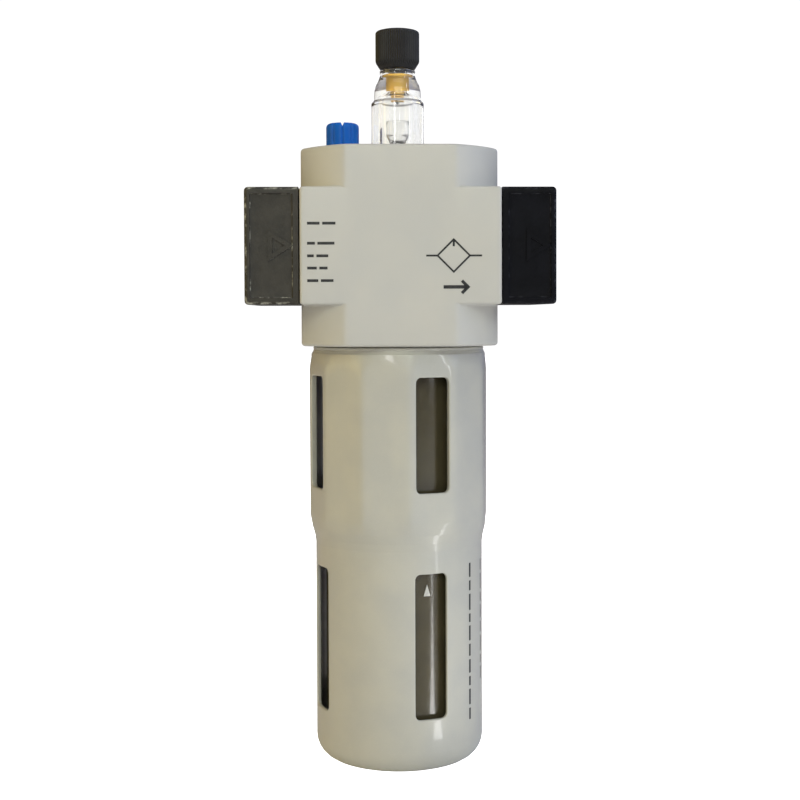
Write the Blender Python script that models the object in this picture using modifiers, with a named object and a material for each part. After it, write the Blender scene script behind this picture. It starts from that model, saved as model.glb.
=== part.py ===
"""Air-line lubricator of a 55 mm modular row: body, connection plates, sight dome, bowl and guard.

Units are metres, +Z is up. The origin is the middle of the body's back face at the height of the ports.
Air flows along +X, from the inlet plate to the outlet plate, and the front of the unit faces -Y.
"""

import math

import bmesh
import bpy
from mathutils import Matrix, Vector

MM = 0.001
GAP = 0.3 * MM  # clearance between pieces that touch

# Body housing
MODULE = 55 * MM  # width and depth of the module
BODY_HALF_HEIGHT = 27.5 * MM
BODY_ROUND_R = 31.4 * MM  # the column is this cylinder, cut flat on four sides
BLOCK_HALF_HEIGHT = 16 * MM
AXIS_Y = -MODULE / 2  # the unit's vertical axis lies this far in front of the back face
FLOW_R = 8.0 * MM
SOCKET_R, SOCKET_TOP = 23.9 * MM, -17 * MM  # takes the guard's thread and the bowl's flange
SEAL_R, SEAL_TOP = 20.5 * MM, -13 * MM  # takes the bowl's neck and its ring
DOME_SEAT_R, DOME_SEAT_Z = 8.2 * MM, 20.5 * MM

# Connection plates
PLATE_THICK = 15 * MM
PLATE_DEPTH = 53.4 * MM
PLATE_DRAFT = 0.25 * MM  # how much each side draws in towards the plate's outer end
PORT_R = 9.3 * MM  # G 1/2 thread, minor radius
SCREW_CORNERS = tuple((y * MM, z * MM) for y, z in ((-20, 10), (20, 10), (20, -10), (-20, -10)))
SCREW_R, SCREW_LENGTH = 2.0 * MM, 18 * MM
SCREW_HEAD_R, SCREW_HEAD_TALL, SCREW_KEY_R = 3.5 * MM, 4.0 * MM, 1.7 * MM
SCREW_SINK = 4.6 * MM  # depth of the counterbore in the plate
PANEL_BORDER, PANEL_DEEP = 1.4 * MM, 0.5 * MM

# Small valves and passages, as (x, y) from the unit's axis
SIPHON_XY = (6.5 * MM, 12 * MM)
CHARGE_XY = (-6.5 * MM, -12 * MM)
FILLER_XY = (-15.9 * MM, 0.0)
PLUG_FLUTES = 9
FILL_CHANNEL_XY = (-8 * MM, 11.5 * MM)
CHANNEL_R = 1.4 * MM

# Bowl and guard
BOWL_R, BOWL_WALL = 21.2 * MM, 2.5 * MM
BOWL_BOTTOM = -142.6 * MM
GUARD_TOP, GUARD_BOTTOM = -21 * MM, -146.6 * MM
GUARD_FLATS = 25.1 * MM  # from the axis to each of the twelve flats
GUARD_SIDES = 12
GUARD_TURN = math.radians(19.5)  # a flat and its windows face this far round from the front
GUARD_ROUND_R = 24.1 * MM
WINDOW_ROWS = ((10.0 * MM, -36.1 * MM, -68.0 * MM), (9.6 * MM, -90.5 * MM, -131.0 * MM))
WINDOW_CORNER_R = 1.5 * MM

# Sight dome, needle and knob
DOME_R, DOME_CAVITY_R = 7.56 * MM, 4.6 * MM
DOME_TOP = 51.5 * MM
KNOB_R, KNOB_BOTTOM, KNOB_TOP = 6.33 * MM, 51.8 * MM, 63 * MM
KNOB_SPLINES = 36
NEEDLE_R = 1.0 * MM

# Flow damper
FLAP_X, FLAP_Z = -3.2 * MM, 4.6 * MM
FLAP_PIN_R = 0.6 * MM

COLOURS = {  # linear red, green, blue, then roughness, metallic
    "body_paint": ((0.47, 0.47, 0.44), 0.45, 0.0),
    "guard_paint": ((0.47, 0.47, 0.43), 0.25, 0.0),
    "plate_black": ((0.012, 0.012, 0.013), 0.4, 0.0),
    "steel": ((0.35, 0.35, 0.36), 0.3, 1.0),
    "clear_plastic": ((0.85, 0.86, 0.8), 0.05, 0.0),
    "oil_clear": ((0.6, 0.58, 0.45), 0.08, 0.0),
    "brass": ((0.69, 0.47, 0.15), 0.25, 1.0),
    "knob_black": ((0.02, 0.02, 0.021), 0.5, 0.0),
    "plug_blue": ((0.01, 0.09, 0.42), 0.35, 0.0),
    "seal_rubber": ((0.015, 0.015, 0.015), 0.6, 0.0),
    "insert_white": ((0.6, 0.6, 0.57), 0.5, 0.0),
    "bronze": ((0.36, 0.24, 0.11), 0.8, 1.0),
}


def material(name):
    """One material for each finish, made when first asked for."""
    found = bpy.data.materials.get(name)
    if found:
        return found
    colour, roughness, metallic = COLOURS[name]
    made = bpy.data.materials.new(name)
    made.use_nodes = True
    shader = made.node_tree.nodes["Principled BSDF"]
    shader.inputs["Base Color"].default_value = (*colour, 1)
    shader.inputs["Roughness"].default_value = roughness
    shader.inputs["Metallic"].default_value = metallic
    made.diffuse_color = (*colour, 1)
    return made


def clear_scene():
    for thing in list(bpy.data.objects):
        bpy.data.objects.remove(thing, do_unlink=True)


def collection(name):
    made = bpy.data.collections.new(name)
    bpy.context.scene.collection.children.link(made)
    return made


def add_object(name, data, finish, parent, place=(0, 0, 0)):
    """An object of the part, in the unit's own axes: its parent stands on the unit's axis."""
    made = bpy.data.objects.new(name, data)
    PARTS.objects.link(made)
    made.parent = parent
    made.location = place
    if not data.materials:
        data.materials.append(material(finish))
    return made


def mesh_from(name, build):
    """A mesh filled by build(bmesh)."""
    data = bpy.data.meshes.new(name)
    bm = bmesh.new()
    build(bm)
    bm.to_mesh(data)
    bm.free()
    return data


def outline_mesh(name, points, closed):
    """Vertices (radius, height) in the XZ plane joined by edges, for a Screw modifier."""
    data = bpy.data.meshes.new(name)
    count = len(points)
    edges = [(i, i + 1) for i in range(count - 1)]
    if closed:
        edges.append((count - 1, 0))
    data.from_pydata([(r, 0, z) for r, z in points], edges, [])
    return data


def turn(profile, steps):
    """Screws a profile object once round Z."""
    screw = profile.modifiers.new("turn", "SCREW")
    screw.steps = screw.render_steps = steps
    screw.use_merge_vertices = True
    screw.merge_threshold = 1e-6
    screw.use_smooth_shade = True


def turned(name, profile, finish, parent, place=(0, 0, 0), closed=True, steps=36):
    """A turned piece, from a profile that runs down its outer side and up its inner one."""
    made = add_object(name, outline_mesh(name, profile, closed), finish, parent, place)
    turn(made, steps)
    return made


def box_mesh(name, low, high):
    low, high = Vector(low), Vector(high)
    size = high - low
    place = Matrix.Translation((low + high) / 2) @ Matrix.Diagonal((*size, 1))
    return mesh_from(name, lambda bm: bmesh.ops.create_cube(bm, size=1, matrix=place))


def rod_mesh(name, radius, start, end, segments=24):
    """A straight round bar between two points."""
    start, end = Vector(start), Vector(end)
    along = end - start
    swing = along.to_track_quat("Z", "Y").to_matrix().to_4x4()
    place = Matrix.Translation((start + end) / 2) @ swing

    def build(bm):
        bmesh.ops.create_cone(bm, cap_ends=True, segments=segments, radius1=radius, radius2=radius,
                              depth=along.length, matrix=place)

    return mesh_from(name, build)


def cutter(name, data, parent):
    """A hidden solid that Booleans read."""
    made = bpy.data.objects.new(name, data)
    CUTTERS.objects.link(made)
    made.parent = parent
    made.hide_render = True
    made.display_type = "WIRE"
    return made


def combine(piece, tool, operation="DIFFERENCE"):
    change = piece.modifiers.new(tool.name, "BOOLEAN")
    change.object = tool
    change.operation = operation
    change.solver = "EXACT"


def drill(piece, name, radius, start, end, parent, segments=16):
    combine(piece, cutter(name, rod_mesh(name, radius, start, end, segments), parent))


def at(xy, z):
    return (xy[0], xy[1], z)


def arc(centre, radius, start, end, steps):
    """Points on an arc in the profile plane, angles in degrees from +R towards +Z."""
    turns = [math.radians(start + (end - start) * i / steps) for i in range(steps + 1)]
    return [(centre[0] + radius * math.cos(t), centre[1] + radius * math.sin(t)) for t in turns]


def ring(name, major, minor, place, parent, steps=24):
    """A rubber ring of round section, flat about Z."""
    section = list(reversed(arc((major, 0), minor, 0, 360, 6)[:-1]))
    return turned(name, section, "seal_rubber", parent, place, steps=steps)


def body_housing(unit):
    """The die-cast body: a column cut flat on four sides, the port block, and every bore."""
    half = MODULE / 2
    column = mesh_from("body_housing", lambda bm: bmesh.ops.create_cone(
        bm, cap_ends=True, segments=64, radius1=BODY_ROUND_R, radius2=BODY_ROUND_R, depth=2 * BODY_HALF_HEIGHT))
    body = add_object("body_housing", column, "body_paint", unit)
    flats = box_mesh("body_flats", (-half, -half, -half - MM), (half, half, half + MM))
    combine(body, cutter("body_flats", flats, unit), "INTERSECT")
    block = box_mesh("port_block", (-half, -half, -BLOCK_HALF_HEIGHT), (half, half, BLOCK_HALF_HEIGHT))
    combine(body, cutter("port_block", block, unit), "UNION")

    over = BODY_HALF_HEIGHT + 2 * MM
    drill(body, "flow_bore", FLOW_R, (-half - MM, 0, 0), (half + MM, 0, 0), unit, 32)
    drill(body, "bowl_socket", SOCKET_R, (0, 0, -over), (0, 0, SOCKET_TOP), unit, 48)
    drill(body, "seal_bore", SEAL_R, (0, 0, SOCKET_TOP - 3 * MM), (0, 0, SEAL_TOP), unit, 48)
    drill(body, "dome_seat", DOME_SEAT_R, (0, 0, DOME_SEAT_Z), (0, 0, over), unit, 24)
    drill(body, "drip_hole", 1.95 * MM, (0, 0, 0), (0, 0, DOME_SEAT_Z + MM), unit)

    drill(body, "filler_bore", 4.0 * MM, at(FILLER_XY, 13.5 * MM), at(FILLER_XY, over), unit)
    drill(body, "fill_channel", CHANNEL_R, at(FILL_CHANNEL_XY, SEAL_TOP - MM), at(FILL_CHANNEL_XY, 16.5 * MM),
          unit, 12)
    drill(body, "fill_link", CHANNEL_R, at(FILLER_XY, 15.2 * MM), at(FILL_CHANNEL_XY, 15.0 * MM), unit, 12)

    drill(body, "siphon_socket", 2.8 * MM, at(SIPHON_XY, SEAL_TOP - MM), at(SIPHON_XY, -6 * MM), unit)
    drill(body, "siphon_chamber", 2.1 * MM, at(SIPHON_XY, -7 * MM), at(SIPHON_XY, 0), unit)
    drill(body, "siphon_riser", 1.1 * MM, at(SIPHON_XY, -MM), at(SIPHON_XY, 17.5 * MM), unit, 12)
    drill(body, "siphon_link", 1.1 * MM, at(SIPHON_XY, 16.4 * MM), (2.4 * MM, 4.4 * MM, 22 * MM), unit, 12)

    drill(body, "charge_bore", 2.6 * MM, at(CHARGE_XY, SEAL_TOP - MM), at(CHARGE_XY, -5.6 * MM), unit)
    drill(body, "charge_seat", 1.1 * MM, at(CHARGE_XY, -7 * MM), at(CHARGE_XY, -2.6 * MM), unit, 12)
    drill(body, "charge_link", 0.9 * MM, at(CHARGE_XY, -3.8 * MM), (CHARGE_XY[0], -6 * MM, -3.8 * MM), unit, 12)

    for side in (-1, 1):
        for corner, (y, z) in enumerate(SCREW_CORNERS, 1):
            drill(body, f"thread_{side}_{corner}", 2.3 * MM, (side * (half + MM), y, z),
                  (side * (half - 9.5 * MM), y, z), unit, 16)
    return body


def connection_plate(name, side, unit):
    """A port plate with drafted sides, the threaded port, four screw holes and a shallow front panel."""
    inner = MODULE / 2 + GAP
    outer = MODULE / 2 + PLATE_THICK
    deep, tall = PLATE_DEPTH / 2, BLOCK_HALF_HEIGHT

    def build(bm):
        bmesh.ops.create_cube(bm, size=1)
        for vert in bm.verts:
            far = vert.co.x > 0
            draw = PLATE_DRAFT if far else 0
            vert.co.x = side * (outer if far else inner)
            vert.co.y = math.copysign(deep - draw, vert.co.y)
            vert.co.z = math.copysign(tall - draw, vert.co.z)
        bmesh.ops.recalc_face_normals(bm, faces=bm.faces)

    plate = add_object(name, mesh_from(name, build), "plate_black", unit)
    rounded = plate.modifiers.new("edges", "BEVEL")
    rounded.width = 0.8 * MM
    rounded.segments = 1
    drill(plate, f"{name}_port", PORT_R, (side * (inner - MM), 0, 0), (side * (outer + MM), 0, 0), unit, 32)
    near, far = sorted((side * (inner + PANEL_BORDER), side * (outer - PANEL_BORDER)))
    panel = box_mesh(f"{name}_panel", (near, -deep - MM, -tall + PANEL_BORDER),
                     (far, -deep + PANEL_DEEP + PLATE_DRAFT, tall - PANEL_BORDER))
    combine(plate, cutter(f"{name}_panel", panel, unit))
    for corner, (y, z) in enumerate(SCREW_CORNERS, 1):
        drill(plate, f"{name}_hole_{corner}", SCREW_R + 0.4 * MM, (side * (inner - MM), y, z),
              (side * (outer + MM), y, z), unit, 12)
        drill(plate, f"{name}_head_{corner}", SCREW_HEAD_R + 0.4 * MM, (side * (outer - SCREW_SINK), y, z),
              (side * (outer + MM), y, z), unit, 16)
    groove_profile = [(12.4 * MM, 1.5 * MM), (12.4 * MM, -MM), (10.2 * MM, -MM), (10.2 * MM, 1.5 * MM)]
    groove = cutter(f"{name}_groove", outline_mesh(f"{name}_groove", groove_profile, True), unit)
    groove.location = (side * inner, 0, 0)
    groove.rotation_euler = (0, side * math.pi / 2, 0)
    turn(groove, 24)
    combine(plate, groove)
    return plate


def plate_screws(unit):
    """Four socket cap screws to a plate. They share one head, which a union joins to each shank."""
    head = rod_mesh("plate_screw", SCREW_HEAD_R, (0, 0, 0), (0, 0, SCREW_HEAD_TALL), 16)
    head.materials.append(material("steel"))
    for side, plate in ((-1, "inlet"), (1, "outlet")):
        for corner, (y, z) in enumerate(SCREW_CORNERS, 1):
            seat = side * (MODULE / 2 + PLATE_THICK - SCREW_SINK + GAP)
            screw = add_object(f"{plate}_plate_screw_{corner}", head, "steel", unit, (seat, y, z))
            screw.rotation_euler = (0, side * math.pi / 2, 0)
            shank = rod_mesh(f"{plate}_shank_{corner}", SCREW_R, (0, 0, -SCREW_LENGTH), (0, 0, MM), 10)
            combine(screw, cutter(shank.name, shank, screw), "UNION")
            drill(screw, f"{plate}_key_{corner}", SCREW_KEY_R, (0, 0, SCREW_HEAD_TALL / 2),
                  (0, 0, SCREW_HEAD_TALL + MM), screw, 6)


def sight_dome(unit):
    """The clear dome: a thick cylinder, a rounded shoulder and a neck, hollow with an arched ceiling."""
    foot = DOME_SEAT_Z + GAP
    outer = [(5.1 * MM, DOME_TOP), (5.1 * MM, 49.6 * MM), (5.5 * MM, 48.4 * MM), (6.1 * MM, 47.3 * MM),
             (6.5 * MM, 46.1 * MM), (6.7 * MM, 44.8 * MM), (6.75 * MM, 43.6 * MM), (7.2 * MM, 42.5 * MM),
             (DOME_R, 41.5 * MM)]
    groove = [(DOME_R, 25.1 * MM), (5.85 * MM, 25.1 * MM), (5.85 * MM, 22.9 * MM), (DOME_R, 22.9 * MM)]
    ceiling = [(DOME_CAVITY_R, foot), (DOME_CAVITY_R, 41.5 * MM), (4.3 * MM, 43.0 * MM), (3.5 * MM, 44.3 * MM),
               (2.5 * MM, 45.0 * MM)]
    bore = [(2.5 * MM, 48.6 * MM), (3.2 * MM, 48.6 * MM), (3.2 * MM, DOME_TOP)]
    return turned("sight_dome", outer + groove + [(DOME_R, foot)] + ceiling + bore, "clear_plastic", unit, steps=24)


def drip_funnel(unit):
    """The clear cup that catches each drop, with the stem that leads it down to the air stream."""
    profile = [(3.7 * MM, 36.2 * MM), (3.7 * MM, 33.9 * MM), (3.2 * MM, 32.2 * MM), (2.3 * MM, 31.0 * MM),
               (1.6 * MM, 30.6 * MM), (1.6 * MM, 22.2 * MM), (4.2 * MM, 22.2 * MM), (4.2 * MM, 20.9 * MM),
               (1.6 * MM, 20.9 * MM), (1.6 * MM, 8.6 * MM), (0.8 * MM, 8.6 * MM), (0.8 * MM, 31.5 * MM),
               (1.7 * MM, 31.9 * MM), (2.5 * MM, 33.0 * MM), (2.9 * MM, 34.2 * MM), (2.9 * MM, 36.2 * MM)]
    return turned("drip_funnel", profile, "clear_plastic", unit, steps=16)


def needle_bush(unit):
    """The brass bush: collar, shank and a ribbed nozzle end, with the ring groove in its bore."""
    outer = [(2.9 * MM, 50.3 * MM), (2.9 * MM, 48.9 * MM), (2.2 * MM, 48.9 * MM), (2.2 * MM, 45.2 * MM)]
    ribs = []
    for rib in range(3):
        top = (45.2 - 0.75 * rib) * MM
        ribs += [(2.5 * MM, top - 0.15 * MM), (2.5 * MM, top - 0.45 * MM), (2.2 * MM, top - 0.6 * MM)]
    bore = [(1.3 * MM, 42.7 * MM), (1.3 * MM, 49.1 * MM), (2.3 * MM, 49.1 * MM), (2.3 * MM, 50.0 * MM),
            (1.3 * MM, 50.0 * MM), (1.3 * MM, 50.3 * MM)]
    return turned("needle_bush", outer + ribs + [(2.0 * MM, 42.7 * MM)] + bore, "brass", unit, steps=16)


def adjusting_needle(unit):
    """The needle: a round spindle with a tapered tip, held by the knob at its upper end."""
    profile = [(0, 56.7 * MM), (NEEDLE_R, 56.7 * MM), (NEEDLE_R, 43.4 * MM), (0.35 * MM, 41.7 * MM), (0, 41.7 * MM)]
    return turned("adjusting_needle", profile, "steel", unit, closed=False, steps=16)


def adjusting_knob(unit):
    """The splined knob with its hub in the dome's neck and a blind hole for the needle."""

    def build(bm):
        tall = KNOB_TOP - KNOB_BOTTOM
        middle = Matrix.Translation((0, 0, KNOB_BOTTOM + tall / 2))
        bmesh.ops.create_cone(bm, cap_ends=True, segments=2 * KNOB_SPLINES, radius1=KNOB_R, radius2=KNOB_R,
                              depth=tall, matrix=middle)
        for vert in bm.verts:
            tooth = math.atan2(vert.co.y, vert.co.x) / math.pi * KNOB_SPLINES
            if round(tooth) % 2:
                vert.co.x *= 0.96
                vert.co.y *= 0.96

    knob = add_object("adjusting_knob", mesh_from("adjusting_knob", build), "knob_black", unit)
    rounding = [(0, KNOB_TOP + 0.01 * MM), (4.9 * MM, KNOB_TOP - 0.02 * MM), (6.0 * MM, KNOB_TOP - 0.45 * MM),
                (6.5 * MM, KNOB_TOP - 1.3 * MM), (6.5 * MM, 53.8 * MM), (5.0 * MM, KNOB_BOTTOM - 0.01 * MM),
                (0, KNOB_BOTTOM - 0.02 * MM)]
    blank = cutter("knob_blank", outline_mesh("knob_blank", rounding, False), unit)
    turn(blank, 36)
    combine(knob, blank, "INTERSECT")
    hub = rod_mesh("knob_hub", 2.9 * MM, (0, 0, 50.6 * MM), (0, 0, 53 * MM), 24)
    combine(knob, cutter("knob_hub", hub, unit), "UNION")
    drill(knob, "knob_bore", NEEDLE_R + GAP, (0, 0, 50 * MM), (0, 0, 57 * MM), unit, 16)
    return knob


def filler_plug(unit):
    """The oil filling plug: a fluted head with a slot across its top, on a plain threaded shank."""
    head_r, head_top, head_bottom = 4.77 * MM, 36.3 * MM, 27.8 * MM
    profile = [(0, head_top), (4.2 * MM, head_top), (4.6 * MM, head_top - 0.3 * MM), (head_r, head_top - 0.9 * MM),
               (head_r, 29.2 * MM), (4.95 * MM, 28.4 * MM), (4.95 * MM, head_bottom), (3.7 * MM, head_bottom),
               (3.7 * MM, 27.2 * MM), (2.9 * MM, 27.2 * MM), (2.9 * MM, 25.4 * MM), (3.7 * MM, 25.4 * MM),
               (3.7 * MM, 19.0 * MM), (0, 19.0 * MM)]
    plug = turned("filler_plug", profile, "plug_blue", unit, at(FILLER_XY, 0), closed=False, steps=24)
    for flute in range(PLUG_FLUTES):
        angle = 2 * math.pi * (flute + 0.5) / PLUG_FLUTES
        foot = (5.15 * MM * math.sin(angle), -5.15 * MM * math.cos(angle))
        drill(plug, f"plug_flute_{flute}", 0.75 * MM, at(foot, 28.6 * MM), at(foot, 37 * MM), plug, 8)
    slot = box_mesh("plug_slot", (-1.2 * MM, -6 * MM, -1.2 * MM), (1.2 * MM, 6 * MM, 1.2 * MM))
    notch = cutter("plug_slot", slot, plug)
    notch.location = (0, 0, head_top + 0.1 * MM)
    notch.rotation_euler = (0, math.pi / 4, 0)
    combine(plug, notch)
    return plug


def bowl(unit):
    """The clear oil bowl: neck with a ring groove, flange, straight wall and rounded floor."""
    inner_r = BOWL_R - BOWL_WALL
    floor = BOWL_BOTTOM + 2.4 * MM
    inside = [(0, floor), (12.5 * MM, floor)] + arc((13.7 * MM, floor + 5 * MM), 5 * MM, -76, 0, 3)
    inside += [(inner_r, -24 * MM), (16.8 * MM, -21.5 * MM), (16.8 * MM, SEAL_TOP - 0.4 * MM)]
    neck = [(20.0 * MM, SEAL_TOP - 0.4 * MM), (20.0 * MM, -14.3 * MM), (18.1 * MM, -14.3 * MM),
            (18.1 * MM, -16.4 * MM), (20.0 * MM, -16.4 * MM), (20.0 * MM, -17.3 * MM)]
    flange = [(23.0 * MM, -17.3 * MM), (23.0 * MM, -19.3 * MM), (BOWL_R, -19.3 * MM)]
    corner = 6.5 * MM
    outside = arc((BOWL_R - corner, BOWL_BOTTOM + corner), corner, 0, -90, 4)
    return turned("bowl", inside + neck + flange + outside + [(0, BOWL_BOTTOM)], "oil_clear", unit, closed=False)


def bowl_guard(unit):
    """The guard: threaded neck, shoulder, twelve flats, a step in to the round lower part, and windows."""
    neck = [(23.5 * MM, GUARD_TOP), (23.5 * MM, -27.9 * MM), (24.7 * MM, -27.9 * MM), (24.7 * MM, -29.4 * MM)]
    shoulder = [(25.3 * MM, -30.6 * MM), (26.3 * MM, -34.5 * MM), (26.3 * MM, -76 * MM), (25.4 * MM, -80 * MM),
                (24.4 * MM, -82.6 * MM), (GUARD_ROUND_R, -84.5 * MM)]
    corner = 5.6 * MM
    foot = arc((GUARD_ROUND_R - corner, GUARD_BOTTOM + corner), corner, 0, -90, 4)
    floor = [(7 * MM, GUARD_BOTTOM), (7 * MM, GUARD_BOTTOM + 2.2 * MM)]
    inside = arc((18.2 * MM, -140.4 * MM), 4.0 * MM, -90, 0, 3)
    inside += [(22.2 * MM, -83.5 * MM), (23.1 * MM, -79 * MM), (23.1 * MM, -34 * MM), (21.5 * MM, -31 * MM),
               (21.5 * MM, GUARD_TOP)]
    guard = turned("bowl_guard", neck + shoulder + foot + floor + inside, "guard_paint", unit, steps=36)

    prism = mesh_from("guard_flats", lambda bm: bmesh.ops.create_cone(
        bm, cap_ends=True, segments=GUARD_SIDES, radius1=GUARD_FLATS / math.cos(math.pi / GUARD_SIDES),
        radius2=GUARD_FLATS / math.cos(math.pi / GUARD_SIDES), depth=300 * MM,
        matrix=Matrix.Rotation(GUARD_TURN + math.pi / GUARD_SIDES, 4, "Z")))
    combine(guard, cutter("guard_flats", prism, unit), "INTERSECT")
    for row, (width, top, bottom) in enumerate(WINDOW_ROWS, 1):
        for way in range(2):
            name = f"windows_{row}_{way + 1}"
            bar = cutter(name, box_mesh(name, (-width / 2, -40 * MM, bottom), (width / 2, 40 * MM, top)), unit)
            bar.rotation_euler = (0, 0, GUARD_TURN + way * math.pi / 2)
            rounded = bar.modifiers.new("corners", "BEVEL")
            rounded.width = WINDOW_CORNER_R
            rounded.segments = 2
            combine(guard, bar)
    return guard


def guard_slip_ring(unit):
    """The flat ring that lets the guard turn under the bowl's flange."""
    profile = [(23.2 * MM, -19.6 * MM), (23.2 * MM, -20.7 * MM), (21.5 * MM, -20.7 * MM), (21.5 * MM, -19.6 * MM)]
    return turned("guard_slip_ring", profile, "insert_white", unit)


def venturi_insert(unit):
    """The tube across the air stream that carries the damper flap and lets the oil drop in."""
    profile = [(7.6 * MM, 9 * MM), (7.6 * MM, -9 * MM), (6.9 * MM, -9 * MM), (4.0 * MM, -6.6 * MM),
               (4.0 * MM, -5.2 * MM), (6.9 * MM, -5.2 * MM), (6.9 * MM, 9 * MM)]
    insert = turned("venturi_insert", profile, "insert_white", unit, steps=24)
    insert.rotation_euler = (0, math.pi / 2, 0)
    drill(insert, "venturi_drip_hole", 1.2 * MM, (0, 0, 5 * MM), (0, 0, 9 * MM), unit, 12)
    drill(insert, "flap_pin_hole", FLAP_PIN_R + GAP, (FLAP_X, -9 * MM, FLAP_Z), (FLAP_X, 9 * MM, FLAP_Z), unit, 12)
    return insert


def damper_flap(unit):
    """The round flap and its knuckle, hanging on the pin; its origin is on the pin's axis."""
    place = (FLAP_X, 0, FLAP_Z)
    thick, radius, drop = 0.8 * MM, 4.5 * MM, -4.9 * MM
    disc = rod_mesh("damper_flap", radius, (-thick / 2, 0, drop), (thick / 2, 0, drop), 24)
    flap = add_object("damper_flap", disc, "insert_white", unit, place)
    knuckle = rod_mesh("flap_knuckle", 1.5 * MM, (0, -2.4 * MM, 0), (0, 2.4 * MM, 0), 16)
    combine(flap, cutter("flap_knuckle", knuckle, flap), "UNION")
    drill(flap, "flap_bore", FLAP_PIN_R + GAP, (0, -4 * MM, 0), (0, 4 * MM, 0), flap, 12)
    return flap


def flap_pin(unit):
    half = 6.0 * MM
    pin = rod_mesh("flap_pin", FLAP_PIN_R, (FLAP_X, -half, FLAP_Z), (FLAP_X, half, FLAP_Z), 12)
    return add_object("flap_pin", pin, "steel", unit)


def siphon_tube(unit):
    """The oil riser from the strainer up into the body, with the ball's seat at its upper end."""
    top, bottom = -6.6 * MM, -134 * MM
    profile = [(2.5 * MM, top), (2.5 * MM, bottom), (1.5 * MM, bottom), (1.5 * MM, -9 * MM), (1.0 * MM, -8.4 * MM),
               (1.0 * MM, top)]
    return turned("siphon_tube", profile, "insert_white", unit, at(SIPHON_XY, 0), steps=16)


def siphon_strainer(unit):
    """The sintered cap over the riser's lower end."""
    profile = [(3.4 * MM, -127 * MM), (3.4 * MM, -137.5 * MM), (0.8 * MM, -137.5 * MM), (0.8 * MM, -134.3 * MM),
               (2.8 * MM, -134.3 * MM), (2.8 * MM, -127 * MM)]
    return turned("siphon_strainer", profile, "bronze", unit, at(SIPHON_XY, 0), steps=16)


def ball(name, radius, place, unit):
    data = mesh_from(name, lambda bm: bmesh.ops.create_uvsphere(bm, u_segments=12, v_segments=8, radius=radius))
    made = add_object(name, data, "steel", unit, place)
    data.shade_smooth()
    return made


def charge_valve(unit):
    """The ball that lets air into the bowl, the spring under it and the ring screwed in below."""
    ball("charge_valve_ball", 1.7 * MM, at(CHARGE_XY, -7.2 * MM), unit)
    foot, head, turns, per_turn = -11.05 * MM, -9.35 * MM, 4, 9
    coil = bpy.data.curves.new("charge_valve_spring", "CURVE")
    coil.dimensions = "3D"
    wire = coil.splines.new("POLY")
    count = turns * per_turn + 1
    wire.points.add(count - 1)
    for i, point in enumerate(wire.points):
        angle = 2 * math.pi * i / per_turn
        height = foot + (head - foot) * i / (count - 1)
        point.co = (1.35 * MM * math.cos(angle), 1.35 * MM * math.sin(angle), height, 1)
    coil.bevel_depth = 0.15 * MM
    coil.bevel_resolution = 1
    coil.use_fill_caps = True
    add_object("charge_valve_spring", coil, "steel", unit, at(CHARGE_XY, 0))
    profile = [(2.3 * MM, -11.5 * MM), (2.3 * MM, -12.9 * MM), (0.8 * MM, -12.9 * MM), (0.8 * MM, -11.5 * MM)]
    turned("charge_valve_retainer", profile, "brass", unit, at(CHARGE_XY, 0), steps=16)


def build():
    unit = bpy.data.objects.new("unit_axis", None)
    PARTS.objects.link(unit)
    unit.location = (0, AXIS_Y, 0)

    body_housing(unit)
    connection_plate("inlet_connection_plate", -1, unit)
    connection_plate("outlet_connection_plate", 1, unit)
    plate_screws(unit)
    for side, plate in ((-1, "inlet"), (1, "outlet")):
        place = (side * (MODULE / 2 + 0.95 * MM), 0, 0)
        ring(f"{plate}_plate_o_ring", 11.3 * MM, 0.6 * MM, place, unit).rotation_euler = (0, math.pi / 2, 0)
    sight_dome(unit)
    ring("dome_o_ring", 7.05 * MM, 0.85 * MM, (0, 0, 24 * MM), unit)
    drip_funnel(unit)
    needle_bush(unit)
    ring("needle_o_ring", 1.65 * MM, 0.32 * MM, (0, 0, 49.55 * MM), unit, 16)
    adjusting_needle(unit)
    adjusting_knob(unit)
    filler_plug(unit)
    ring("filler_plug_o_ring", 3.45 * MM, 0.25 * MM, at(FILLER_XY, 26.3 * MM), unit, 16)
    bowl(unit)
    ring("bowl_o_ring", 19.3 * MM, 0.9 * MM, (0, 0, -15.35 * MM), unit, 36)
    bowl_guard(unit)
    guard_slip_ring(unit)
    venturi_insert(unit)
    damper_flap(unit)
    flap_pin(unit)
    siphon_tube(unit)
    siphon_strainer(unit)
    ball("siphon_check_ball", 1.5 * MM, at(SIPHON_XY, -4.8 * MM), unit)
    charge_valve(unit)


clear_scene()
PARTS = collection("air_lubricator")
CUTTERS = collection("cutters")
build()
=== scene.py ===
"""Looks of an air-line lubricator: cast body, port plates, sight dome, bowl, guard and their finishes.

Lengths are metres and +Z is up. The unit's own axis is vertical; sizes are given in millimetres times MM.
Every new piece is a surface worked out with numpy on two parameters, put where the frame's boxes say.
"""
import logging
import math
from dataclasses import dataclass
from enum import Enum
from typing import Callable, Sequence

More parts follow.
